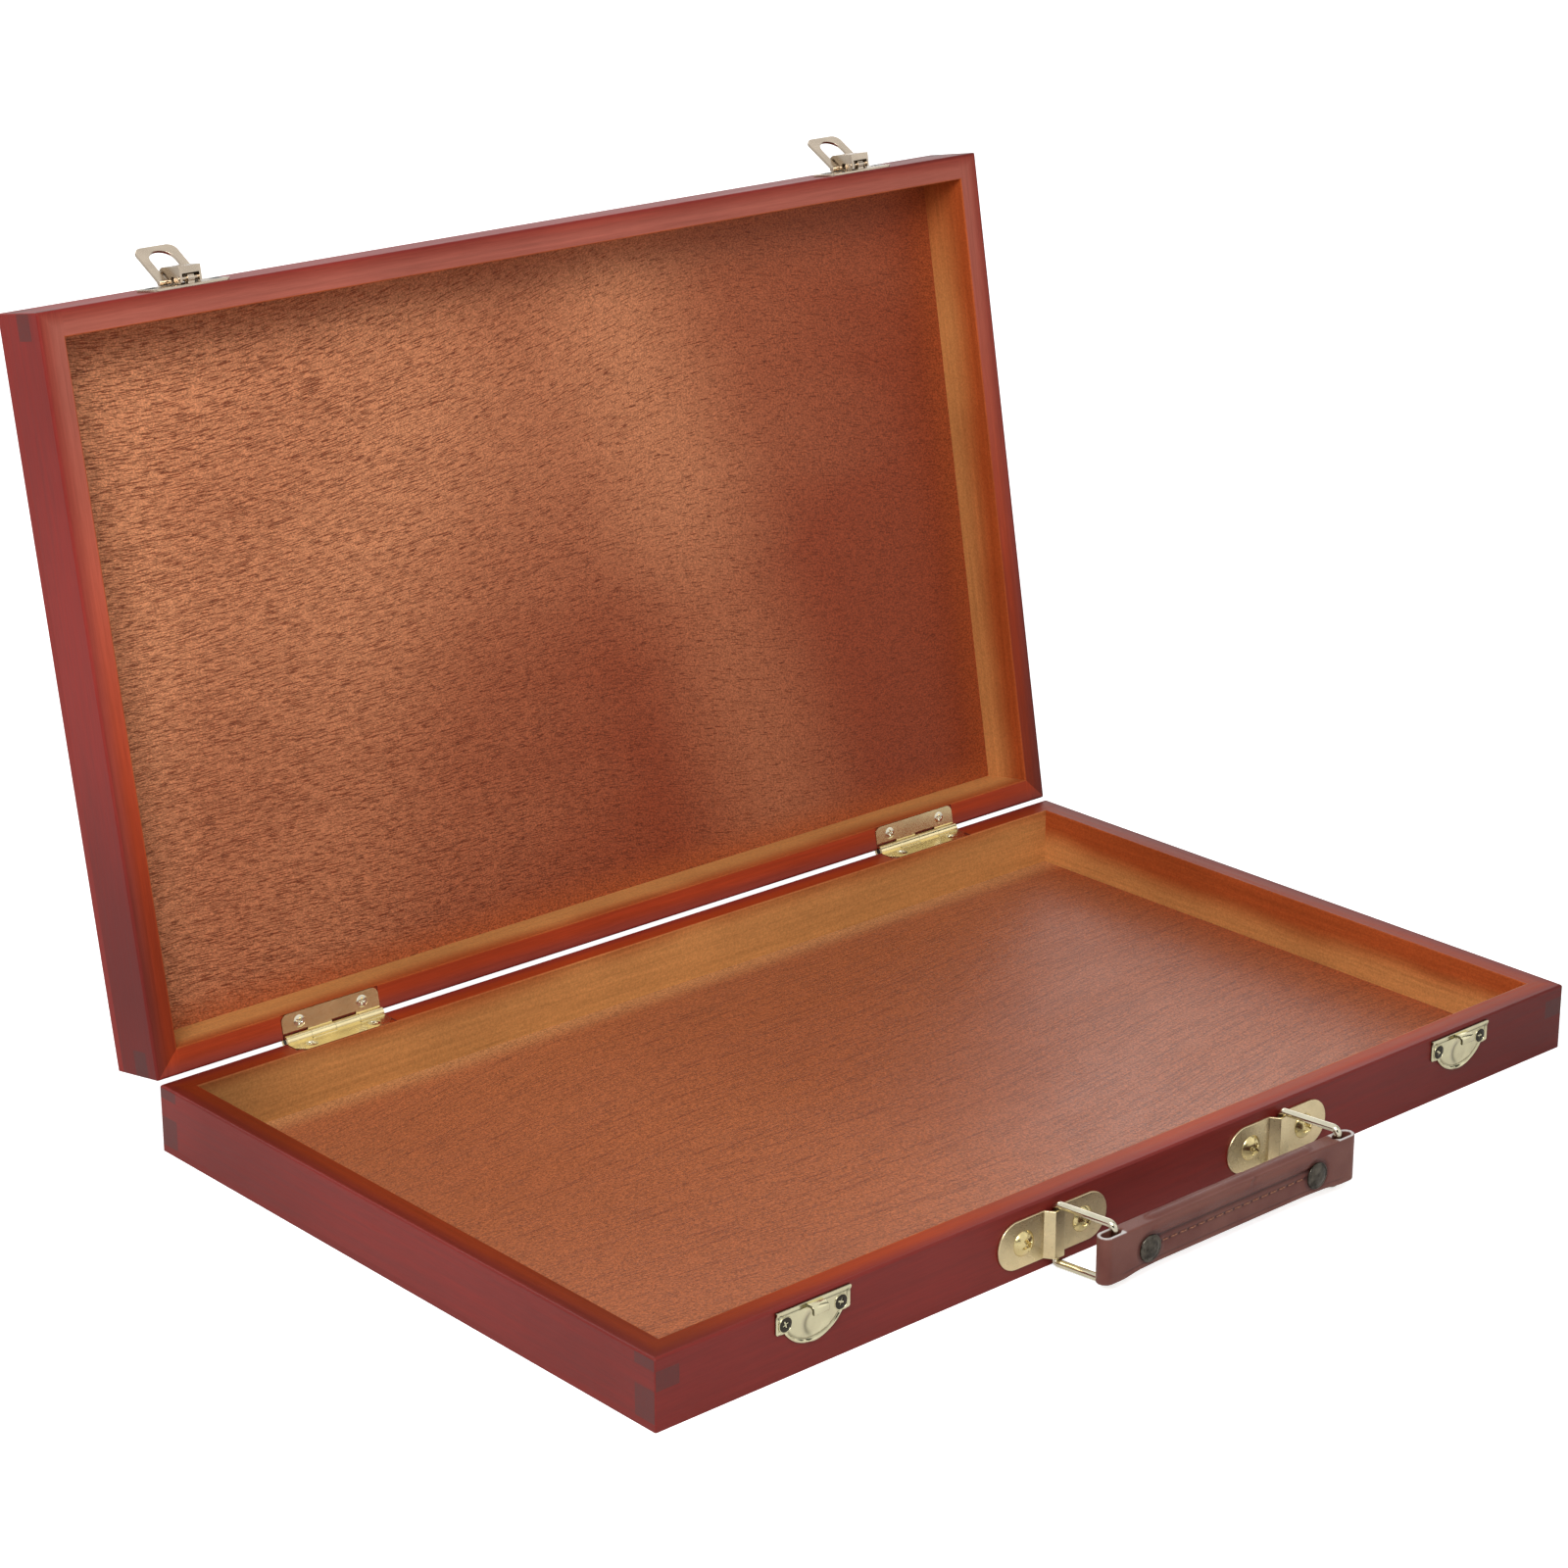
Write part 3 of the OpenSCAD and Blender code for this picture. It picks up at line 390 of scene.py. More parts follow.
def makeRailStain(tray):
    s = {**railStain, **railStain[tray]}
    material, node = newMaterial(s["name"])
    place = node("Attribute", attribute_name="trayPlace").outputs["Vector"]
    board = node("Attribute", attribute_name="boardPlace").outputs["Vector"]
    ends = node("Attribute", attribute_name="endGrain").outputs["Fac"]
    x, y, z = node("SeparateXYZ", [place]).outputs
    gaps = []
    for half, way in (("halfX", x), ("halfY", y)):
        away = node("Math", [way], operation="ABSOLUTE")
        gaps.append(node("Math", [case[half], away], operation="SUBTRACT"))
    inward = node("Math", gaps, operation="MINIMUM")
    onSide = node("Math", gaps, operation="LESS_THAN")
    onRim, midRim, inner = [node("MapRange", [inward, *s[fade]], **smooth)
                            for fade in ("edgeFade", "rimFade", "wallFade")]

    # the bare wood shows through as gold low on the inner walls
    drift = node("TexNoise", {"Vector": place, "Scale": 1 / s["blotchSize"], "Detail": 2})
    uneven = node("MapRange", [drift, 0.3, 0.7, -s["goldDrift"], s["goldDrift"]])
    depth = node("Math", [case["baseRim"], z], operation="SUBTRACT")
    depth = node("Math", [depth, uneven], operation="ADD")
    low, lowSide = [node("MapRange", [depth, *s[reach]], **smooth)
                    for reach in ("gold", "goldSide")]
    golden = node("Mix", {0: onSide, 2: low, 3: lowSide})
    fromFront = node("MapRange", [y, *s["goldFront"]], **smooth)
    lessGold = node("MapRange", [onSide, 0, 1, 1, s["sideGold"]])
    for factor in (fromFront, inner, lessGold):
        golden = node("Math", [golden, factor], operation="MULTIPLY")
    # painted sheen: the lid's rim is pinker towards its front and fades to its plain colour at the back
    lessSheen = node("MapRange", [y, *s["rimSheenReach"]], **smooth)
    rimColourAndSheen = node("Mix", {0: lessSheen, 6: linear(s["rim"]), 7: linear(s["rimBack"])}, **rgba)
    colour = linear(s["outer"])
    # the rim's outer few millimetres turn darker: painted shade where the edge rounds over
    for share, layer in ((onRim, linear(s["rimEdge"])), (midRim, rimColourAndSheen),
                         (inner, linear(s["wallHigh"])), (golden, linear(s["wallLow"]))):
        colour = node("Mix", {0: share, 6: colour, 7: layer}, **rgba)

    streakMap, poreMap = [
        node("Mapping", {"Vector": board, "Scale": (1 / length, 1 / width, 1 / width)})
        for length, width in (s["grain"], s["pore"])]
    streak = node("TexNoise", {
        "Vector": streakMap, "Scale": 1, "Detail": 4, "Roughness": 0.6, "Distortion": 0.4})
    pore = node("TexNoise", {"Vector": poreMap, "Scale": 1, "Detail": 2})
    speck = node("TexNoise", {
        "Vector": board, "Scale": 1 / s["speckSize"], "Detail": 2, "Roughness": 0.7})
    tone = node("MapRange", [streak, 0.3, 0.7, 1 - s["streak"], 1 + s["streak"]])
    blotch = node("MapRange", [drift, 0.35, 0.65, 1 - s["blotch"], 1 + s["blotch"]])
    fine = node("MapRange", [pore, 0.35, 0.65, 0.94, 1.05])
    speckTone = node("MapRange", [speck, 0.3, 0.7, 1 - s["speck"], 1 + s["speck"]])
    speckTone = node("Mix", {0: inner, 2: 1, 3: speckTone})
    fine = node("Math", [fine, speckTone], operation="MULTIPLY")

    # painted shade: the stain is darker towards some sides of the tray, where less light falls
    leftTone, rightTone, rimRight, backTone = [node("MapRange", reach, **smooth) for reach in (
        [x, *s["leftReach"], s["leftShade"], 1], [x, *s["rightReach"], 1, s["rightShade"]],
        [x, *s["rimRightReach"], 1, s["rimRightShade"]], [y, *s["backReach"], 1, s["backShade"]])]
    leftTone = node("Mix", {0: onRim, 2: 1, 3: leftTone})
    backTone = node("Mix", {0: inner, 2: backTone, 3: 1})
    backTone = node("Mix", {0: onSide, 2: 1, 3: backTone})
    rimRight = node("Mix", {0: inner, 2: rimRight, 3: 1})
    rightTone = node("Mix", {0: onRim, 2: rightTone, 3: rimRight})
    for factor in (leftTone, backTone, rightTone, blotch, fine):
        tone = node("Math", [tone, factor], operation="MULTIPLY")
    colour = node("VectorMath", {0: colour, "Scale": tone}, operation="SCALE")
    endMix = node("Math", [ends, s["endShare"]], operation="MULTIPLY")
    colour = node("Mix", {0: endMix, 6: colour, 7: linear(s["endGrain"])}, **rgba)
    rough = node("MapRange", [streak, 0.3, 0.7, s["roughness"] - 0.05, s["roughness"] + 0.07])
    gloss = node("MapRange", [onRim, 0, 1, s["outerGloss"], s["gloss"]])
    bump = node("Bump", {"Height": pore, "Strength": 0.5, "Distance": 0.05 * mm})
    shader = node("BsdfPrincipled", {
        "Base Color": colour, "Roughness": rough, "IOR": 1.5, "Specular IOR Level": gloss,
        "Normal": bump})
    node("OutputMaterial", {"Surface": shader})
    return material


panelSet = {  # bands are lighter stripes across the grain: place, half width, lean and share
    # the fade and the hinge darkening in these panels are painted shade
    "base": {"name": "mahoganyPlyFloor", "light": "#a65e37", "dark": "#944e2c", "gloss": 0.75,
             "hingeShade": 0, "fade": (-400, 400), "bands": [(-60, 70, 0.3, 0.4), (120, 60, -0.2, 0.3)],
             "poreColour": "#743820", "poreShare": 0.55, "poreThin": (0.64, 0.55), "pore": (15, 0.4),
             # the front edge colour is stain with painted shade, the back edge colour a painted sheen on
             # the floor panel
             "edgeFront": "#9a4520", "edgeBack": "#c08a58", "speck": 0.55, "shift": (0, 0, 0)},
    "lid": {"name": "mahoganyPlyLid", "light": "#c5825a", "dark": "#883d22", "gloss": 0.2,
            "hingeShade": 0.48, "fade": (-250, 240),
            "bands": [(-178, 30, 0, 0.3), (-85, 60, 0.3, 0.2), (62, 55, -0.2, 0.38)],
            "poreColour": "#682c16", "poreShare": 0.82, "poreThin": (0.545, 0.68), "pore": (4.2, 0.26),
            "edgeFront": "#a4522a", "edgeBack": "#a4522a", "speck": 0.48, "shift": (310, 120, 0)},
}
plyGrain = {  # rotary-cut lauan veneer: short dark pores in a slow wavy figure, thin satin lacquer
    "figure": (200, 60), "figureShare": 0.1, "waveSize": 260, "waveReach": 26,  # sizes in mm
    "speckle": (5 / 7, 0.5), "bandWave": 0.3, "roughness": 0.48, "hingeReach": (-70, 130),
    "edgeWide": 14, "edgeShare": 0.5, "backWide": 12, "backShare": 0.7,
}


def makePlywood(tray):
    s, stain = {**plyGrain, **panelSet[tray]}, {**railStain, **railStain[tray]}
    material, node = newMaterial(s["name"])
    place = node("Attribute", attribute_name="trayPlace").outputs["Vector"]
    x, y, z = node("SeparateXYZ", [place]).outputs
    shifted = node("VectorMath", [place, s["shift"]], operation="ADD")
    wave = node("TexNoise", {"Vector": shifted, "Scale": 1 / s["waveSize"], "Detail": 0})
    lift = node("MapRange", [wave, 0.2, 0.8, -s["waveReach"], s["waveReach"]])
    liftVector = node("CombineXYZ", {1: lift})
    warped = node("VectorMath", [shifted, liftVector], operation="ADD")
    grains = []
    for size, detail, fineness in (("figure", 3, 0.5), ("pore", 0.4, 0.4), ("speckle", 2, 0.7)):
        length, width = s[size]
        grainMap = node("Mapping", {"Vector": warped, "Scale": (1 / length, 1 / width, 1)})
        grains.append(node("TexNoise", {
            "Vector": grainMap, "Scale": 1, "Detail": detail, "Roughness": fineness}))
    figure, pore, speck = grains

    # painted shade: the panel darkens towards the right, and the lid's panel also towards its hinge
    fade = node("MapRange", [x, *s["fade"]], **smooth)
    figureTone = node("MapRange", [figure, 0.3, 0.7, -s["figureShare"], s["figureShare"]])
    hingeSide = node("MapRange", [y, *s["hingeReach"], 0, s["hingeShade"]], **smooth)
    tone = node("Math", [fade, figureTone], operation="ADD")
    tone = node("Math", [tone, hingeSide], operation="ADD")
    for middle, half, lean, share in s["bands"]:
        line = node("Math", [y, lean, x], operation="MULTIPLY_ADD")
        line = node("Math", [lift, s["bandWave"], line], operation="MULTIPLY_ADD")
        away = node("Math", [line, middle], operation="SUBTRACT")
        away = node("Math", [away], operation="ABSOLUTE")
        stripe = node("MapRange", [away, 0, half, share, 0], **smooth)
        tone = node("Math", [tone, stripe], operation="SUBTRACT", use_clamp=True)
    thin = node("MapRange", [fade, 0, 1, *s["poreThin"]], **smooth)
    thinTop = node("Math", [thin, 0.05], operation="ADD")
    poreMask = node("MapRange", [pore, thin, thinTop, 0, s["poreShare"]], **smooth)

    # along the panel's front and side edges a darker tone, partly stain and partly painted shade; along
    # its back edge a painted sheen on the floor panel and the same darker tone on the lid's; and the
    # rail's stain on its outer faces
    absX = node("Math", [x], operation="ABSOLUTE")
    frontGap = node("Math", [y, case["halfY"] - case["wall"]], operation="ADD")
    backGap = node("Math", [case["halfY"] - case["wall"], y], operation="SUBTRACT")
    sideGap = node("Math", [case["halfX"] - case["wall"], absX], operation="SUBTRACT")
    near = node("Math", [frontGap, sideGap], operation="MINIMUM")
    nearSoft = node("MapRange", [near, 0, s["edgeWide"], s["edgeShare"], 0], **smooth)
    backSoft = node("MapRange", [backGap, 0, s["backWide"], s["backShare"], 0], **smooth)
    edge = node("Math", [near, backGap], operation="MINIMUM")
    outward = node("MapRange", [edge, -8, -1, 1, 0], **smooth)
    under = node("MapRange", [z, 1.0, 1.6, 1, 0])
    outerMask = node("Math", [outward, under], operation="MAXIMUM")
    colour = linear(s["light"])
    for share, layer in ((tone, s["dark"]), (poreMask, s["poreColour"]), (nearSoft, s["edgeFront"]),
                         (backSoft, s["edgeBack"]), (outerMask, stain["outer"])):
        colour = node("Mix", {0: share, 6: colour, 7: linear(layer)}, **rgba)
    speckTone = node("MapRange", [speck, 0.3, 0.7, 1 - s["speck"], 1 + s["speck"]])
    # the outer faces darken towards the right as the rails do: painted shade
    edgeTone = node("MapRange", [x, *stain["rightReach"], 1, stain["rightShade"]], **smooth)
    outerFigure = node("MapRange", [figure, 0.3, 0.7, 0.88, 1.1])
    edgeTone = node("Math", [edgeTone, outerFigure], operation="MULTIPLY")
    speckTone = node("Mix", {0: outerMask, 2: speckTone, 3: edgeTone})
    colour = node("VectorMath", {0: colour, "Scale": speckTone}, operation="SCALE")
    gloss = node("MapRange", [outerMask, 0, 1, s["gloss"], stain["outerGloss"]])
    rough = node("MapRange", [figure, 0.3, 0.7, s["roughness"] - 0.06, s["roughness"] + 0.06])
    rise = node("Math", [speck, poreMask], operation="SUBTRACT")
    relief = node("MapRange", [outerMask, 0, 1, 0.7, 0])
    bump = node("Bump", {"Height": rise, "Strength": relief, "Distance": 0.1 * mm})
    shader = node("BsdfPrincipled", {
        "Base Color": colour, "Roughness": rough, "IOR": 1.5, "Specular IOR Level": gloss,
        "Normal": bump})
    node("OutputMaterial", {"Surface": shader})
    return material


sides = {"front": "x", "back": "x", "left": "y", "right": "y"}  # which way each rail's grain runs
for first, tray in enumerate(("base", "lid")):
    stain = makeRailStain(tray)
    for k, (side, along) in enumerate(sides.items()):
        board = makeBoard(f"{tray}_{side}_rail", stain, along, len(sides) * first + k)
for tray, node in (("base", "base_bottom_panel"), ("lid", "lid_top_panel")):
    board = makeBoard(node, makePlywood(tray), "x", 0)
print("trays ready")


metals = {  # colour, roughness, height and size of its surface grain in mm, and how mottled it is
    "catchBrass": ("#d6cfab", 0.19, 0.006, 1.2, 0),  # stamped and lacquered: pale, faintly rippled
    "latchBrass": ("#c4b5a2", 0.24, 0.008, 0.5, 0),  # stamped, a little tarnished: duller and rosier
    "hingeBrass": ("#e6d5a4", 0.22, 0.006, 0.8, 0),  # rolled strip: bright yellow, smooth
    "handleBrass": ("#dccaa0", 0.3, 0.03, 0.45, 0),  # stamped and tumbled: satin with fine pits
    "nickelWire": ("#d3cdb6", 0.12, 0.004, 1.5, 0),  # plated steel wire: sharp reflections
    "screwZinc": ("#3e3a33", 0.25, 0.01, 0.5, 0),  # blackened zinc on steel: dark with small glints
    "screwBrass": ("#d6c48e", 0.24, 0.01, 0.6, 0),  # turned brass: yellow, smooth
    "screwBright": ("#d9d2bc", 0.15, 0.006, 0.6, 0),  # nickel on steel: bright, nearly white
    "antiqueBronze": ("#4f4a42", 0.3, 0.08, 1.1, 0.45),  # hammered dark plating: mottled, uneven glints
}


def makeMetal(name):  # an attribute darkens the hollows and edges of the catch plates: painted shade
    colour, roughness, height, size, mottle = metals[name]
    material, node = newMaterial(name)
    place = node("TexCoord").outputs["Object"]
    fine, broad = [node("TexNoise", {"Vector": place, "Scale": 1 / (spot * mm), "Detail": 3})
                   for spot in (size, 2 if mottle else 7)]
    tone = node("MapRange", [broad, 0.3, 0.7, 0.9 - mottle, 1.07 + mottle])
    grime = node("Attribute", attribute_name="grime").outputs["Fac"]
    unshaded = node("Math", [1, grime], operation="SUBTRACT")
    tone = node("Math", [tone, unshaded], operation="MULTIPLY")
    colour = node("VectorMath", {0: linear(colour)[:3], "Scale": tone}, operation="SCALE")
    rough = node("MapRange", [fine, 0.3, 0.7, roughness * 0.85, roughness * 1.2])
    bump = node("Bump", {"Height": fine, "Strength": 1, "Distance": height * mm})
    shader = node("BsdfPrincipled", {
        "Base Color": colour, "Metallic": 1, "Roughness": rough, "Normal": bump})
    node("OutputMaterial", {"Surface": shader})
    return material


metalMaterials = {name: makeMetal(name) for name in metals}

pressed = {  # node, metal, record slot, eased edge in mm
    "handle_plate": ("handleBrass", "handle_brass", 0.2),
    "hinge_base_leaf": ("hingeBrass", "hinge_brass", 0.1),
    "hinge_lid_leaf": ("hingeBrass", "hinge_brass", 0.1),
    "hinge_pin": ("screwZinc", "hinge_brass", 0.15),
    "latch_base": ("latchBrass", "latch_brass", 0.1),
    "latch_lever": ("latchBrass", "latch_brass", 0.1),
    "latch_pin": ("latchBrass", "latch_brass", 0.1),
    "latch_loop": ("latchBrass", "latch_brass", 0.14),
    "handle_link": ("nickelWire", "nickel_wire", 0),
}


def makePressed(kind, side):
    node = f"{kind}_{side}"
    metal, slot, soft = pressed[kind]
    bm = mergedCopy(node)
    bmesh.ops.dissolve_limit(bm, angle_limit=math.radians(0.3), verts=bm.verts, edges=bm.edges)
    piece = addPiece(pieceName(node), smoothMesh(bm, pieceName(node)), [metalMaterials[metal]])
    if soft:
        bevel = piece.modifiers.new("easedEdges", "BEVEL")
        bevel.width = soft * mm
        bevel.segments = 2
        bevel.limit_method = "ANGLE"
        bevel.angle_limit = math.radians(32)
        weighted = piece.modifiers.new("evenShading", "WEIGHTED_NORMAL")
        weighted.keep_sharp = True
    settle(piece)
    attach(piece, bodyName(node))
    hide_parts(node)


for kind in pressed:
    for side in ("left", "right"):
        makePressed(kind, side)

latchX = (-141.9, 145)  # mm, the middles of the fittings from left to right
handleX = (-45.35, 55.15)
hingeX = (-132.2, 132.2)
catch = {  # mm; heights are measured out from the case front, z from the tray's underside
    "top": 21.9, "half": 14.2, "ear": 7.2, "bowR": 13.3, "round": 0.7, "topRound": 0.25,
    "field": 0.55, "back": 0.02, "flange": 1.08, "flangeTall": 1.15, "flangeSoft": 0.25,
    # raised crest and groove: height, place inside the outline, width
    "crest": 0.86, "crestAt": 0.5, "crestWide": 0.34, "groove": 0.22, "grooveAt": 1.25, "grooveWide": 0.3,
    "dishX": 0.7, "dishDown": 7.6, "dishR": 5.6, "dishFloor": 2.8, "dishDeep": 0.47, "dishRim": 0.1,
    "middle": 5.4, "rings": 46, "ringBias": 1.6, "screwX": 10.6, "screwZ": 17.3,
    "screwFlat": (2.5, 3.3), "lipR": 2.42, "lipThick": 0.16, "lipSteps": 40,
    "hookHalf": 3.0, "hookTop": 21.5, "hookReach": 4.2, "hookThick": 1.0, "hookLip": 1.9,
    "hookBend": 0.7, "hookRoot": 0.15, "hookSoft": 0.22,
    # how dark the painted shade makes each hollow and edge, from 0 to 1
    "edgeShade": 0.9, "sideShade": 0.5, "grooveShade": 0.45, "flangeShade": 0.5, "dishShade": 0.5,
    "hookShade": 0.7, "mostShade": 0.8,
}


def ease(value, low, high):  # smooth step from 0 to 1
    t = min(1, max(0, (value - low) / (high - low)))
    return t * t * (3 - 2 * t)


def valley(value, middle, wide):  # a rounded bump from 0 to 1, for grooves and crests
    return math.exp(-((value - middle) / wide) ** 2)


def catchOutline():  # across and down from the top middle, anticlockwise seen from the front
    c = catch
    half, ear, r, top = c["half"], c["ear"], c["round"], c["topRound"]
    right = [(half * k / 16, 0) for k in range(16)]
    right += roundPoints((half - top, -top), top, 90, 0, 6)
    right += [(half, -top - (ear - r - top) * k / 10) for k in range(1, 10)]
    right += roundPoints((half - r, -ear + r), r, 0, -90, 9)
    meet = math.degrees(math.asin(ear / c["bowR"])) + 0.6
    right += roundPoints((0, 0), c["bowR"], -meet, -90, 46)
    left = [(-x, y) for x, y in reversed(right[1:-1])]
    return right + left


def catchHeight(x, y, gap):  # gap is how far the point lies inside the outline
    c = catch
    clear = ease(math.hypot(abs(x) - c["screwX"], y + c["top"] - c["screwZ"]), *c["screwFlat"])
    h = c["field"] + (c["crest"] - c["field"]) * valley(gap, c["crestAt"], c["crestWide"]) * clear
    h -= c["groove"] * valley(gap, c["grooveAt"], c["grooveWide"]) * clear
    away = math.hypot(x - c["dishX"], y + c["dishDown"])
    bowl = 1 - ease(away, c["dishFloor"], c["dishR"])
    h += c["dishRim"] * valley(away, c["dishR"] + 0.1, 0.35) - c["dishDeep"] * bowl
    top = ease(y, -c["flangeTall"] - c["flangeSoft"], -c["flangeTall"])
    return max(0.1, h) * (1 - top) + c["flange"] * top


def outlineGap(x, y, outline):  # distance to the nearest edge of the outline
    near = 99
    for (ax, ay), (bx, by) in zip(outline, outline[1:] + outline[:1]):
        dx, dy = bx - ax, by - ay
        t = min(1, max(0, ((x - ax) * dx + (y - ay) * dy) / (dx * dx + dy * dy)))
        near = min(near, math.hypot(x - ax - t * dx, y - ay - t * dy))
    return near


def sweepX(bm, profile, x, half, soft):  # a closed profile of height out and z, swept along X
    ends = [(-half, soft), (-half + soft * 0.3, soft * 0.3), (-half + soft, 0)]
    ends += [(-x0, inset) for x0, inset in reversed(ends)]
    rings = []
    for x0, inset in ends:
        ring = []
        for k, point in enumerate(profile):
            before, after = Vector(profile[k - 1]), Vector(profile[(k + 1) % len(profile)])
            along = (after - before).normalized()
            inward = Vector((-along.y, along.x))
            out, z = Vector(point) + inward * inset
            ring.append(bm.verts.new(Vector((x + x0, -case["halfY"] - out, z)) * mm))
        rings.append(ring)
    bridge(bm, rings)
    bm.faces.new(rings[0])
    bm.faces.new(rings[-1])


def hookProfile():  # strip that leaves the plate's top, bends down and ends in a rounded lip
    c = catch
    t, reach, top, inside = c["hookThick"], c["hookReach"], c["hookTop"], c["hookBend"]
    centre = (reach - inside - t, top - inside - t)
    tip = (reach - t / 2, top - c["hookLip"] - t / 2)
    points = [(c["hookRoot"], top), *roundPoints(centre, inside + t, 90, 0, 9)]
    points += [*roundPoints(tip, t / 2, 0, -180, 9), *roundPoints(centre, inside, 0, 90, 6)]
    return (points + [(c["hookRoot"], top - t)])[::-1]


def makeCatch(side, x0):
    c = catch
    outline = catchOutline()
    bm = bmesh.new()
    grime = bm.verts.layers.float.new("grime")

    def put(x, y, out, dirt=0):
        v = bm.verts.new(Vector((x0 + x, -case["halfY"] - out, c["top"] + y)) * mm)
        v[grime] = dirt
        return v

    # painted shade on the plate's edge and sides, where it meets the wood
    rings = [[put(x, y, c["back"], c["edgeShade"]) for x, y in outline]]
    rings.append([put(x, y, 0.8 * c["flange" if y > -c["flangeTall"] else "field"], c["sideShade"])
                  for x, y in outline])
    for k in range(c["rings"]):
        t = 0.006 + 0.994 * (k / c["rings"]) ** c["ringBias"]  # closer together near the edge
        ring = []
        for x, y in outline:
            px, py = x * (1 - t), y + (-c["middle"] - y) * t
            gap = outlineGap(px, py, outline)
            # painted shade in the groove, in a line under the flange and on the left side of the dish
            dirt = c["grooveShade"] * valley(gap, c["grooveAt"], 0.35)
            dirt += c["flangeShade"] * valley(py, -c["flangeTall"] - 0.4, 0.3)
            away = math.hypot(px - c["dishX"], py + c["dishDown"])
            dirt += c["dishShade"] * valley(away, c["dishFloor"] + 0.8, 0.8) * ease(c["dishX"] - px, 0, 3)
            ring.append(put(px, py, catchHeight(px, py, gap), min(c["mostShade"], dirt)))
        rings.append(ring)
    centre = put(0, -c["middle"], catchHeight(0, -c["middle"], 5))
    bridge(bm, rings + [[centre]])
    bm.faces.new(rings[0])
    before = len(bm.verts)
    sweepX(bm, hookProfile(), x0, c["hookHalf"], c["hookSoft"])
    for v in list(bm.verts)[before:]:  # painted shade in the ends of the rolled hook
        out = abs(v.co.x / mm - x0)
        v[grime] = c["hookShade"] * ease(out, c["hookHalf"] - 0.25, c["hookHalf"] - 0.05)
    for end in (-1, 1):  # raised lip round each screw
        section = list(roundPoints((c["lipR"], c["field"] + c["back"]), c["lipThick"], 0, 360, 8))[:-1]
        lip = []
        for k in range(c["lipSteps"]):
            a = 2 * math.pi * k / c["lipSteps"]
            lip.append([put(end * c["screwX"] + r * math.cos(a),
                            c["screwZ"] - c["top"] + r * math.sin(a), out) for r, out in section])
        bridge(bm, lip, closed=True)
    bmesh.ops.recalc_face_normals(bm, faces=bm.faces)
    name = pieceName(f"catch_plate_{side}")
    piece = addPiece(name, smoothMesh(bm, name, 50), [metalMaterials["catchBrass"]])
    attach(piece, "base")
    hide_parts(f"catch_plate_{side}")


for side, middle in zip(("left", "right"), latchX):
    makeCatch(side, middle)
print("brass pieces ready")


steelScrew = {  # mm; radii of head and neck, length, then width, depth and arm of the cross slot
    "head": 2.3, "neck": 1.1, "length": 7.5, "slot": 0.5, "slotDeep": 0.55, "arm": 1.35,
    "metal": "screwZinc", "slotName": "screw_steel", "facing": (0, -1, 0),
}
hingeScrew = {
    **steelScrew, "head": 2.1, "rise": 0.22, "slotDeep": 0.6, "arm": 1.25, "metal": "screwBright",
    "centres": hingeX, "reach": 12.5, "y": case["halfY"] - 5.1,
}
# rise is the height of the dome, low where two hinge screws meet in the shut box
# a pair stands at reach on both sides of each centre, at y and z in the shut box
screws = {
    "catch": {**steelScrew, "rise": 0.3, "node": "catch_screws", "centres": latchX, "reach": 10.6,
              "y": -case["halfY"] - 0.58, "z": 17.3},
    "latch": {**steelScrew, "rise": 0.35, "node": "latch_screws", "centres": latchX, "reach": 12.1,
              "y": -case["halfY"] - 0.8, "z": 31.3},
    "baseHinge": {**hingeScrew, "node": "hinge_base_screws", "z": 23.15, "facing": (0, 0, 1)},
    "lidHinge": {**hingeScrew, "node": "hinge_lid_screws", "z": 23.65, "facing": (0, 0, -1)},
    "handle": {"head": 4.2, "rise": 2.2, "neck": 1.7, "length": 8, "slot": 0.85, "slotDeep": 1.1,
               "arm": 2.2, "metal": "screwBrass", "node": "handle_plate_screws",
               "slotName": "handle_brass", "centres": handleX, "reach": 12.5,
               "y": -case["halfY"] - 0.8, "z": 11.5, "facing": (0, -1, 0)},
}


def screwPlaces(s):  # points and directions, turned with the lid if they sit in it
    facing = Vector(s["facing"])
    points = [Vector((x + side * s["reach"], s["y"], s["z"])) * mm
              for x in s["centres"] for side in (-1, 1)]
    if bodyName(s["node"]) == "lid":
        return [(opening @ point, opening.to_3x3() @ facing) for point in points]
    return [(point, facing) for point in points]


def spunMesh(name, profile, segments, dent=None):  # profile of radius and height, closed on its axis
    bm = bmesh.new()
    rings = []
    for r, z in profile:
        if r == 0:
            rings.append([bm.verts.new((0, 0, z * mm))])
            continue
        ring = []
        for k in range(segments):
            a = 2 * math.pi * k / segments
            x, y = r * math.cos(a), r * math.sin(a)
            ring.append(bm.verts.new((x * mm, y * mm, (z - (dent(x, y, z) if dent else 0)) * mm)))
        rings.append(ring)
    bridge(bm, rings)
    bmesh.ops.recalc_face_normals(bm, faces=bm.faces)
    return smoothMesh(bm, name, 50)


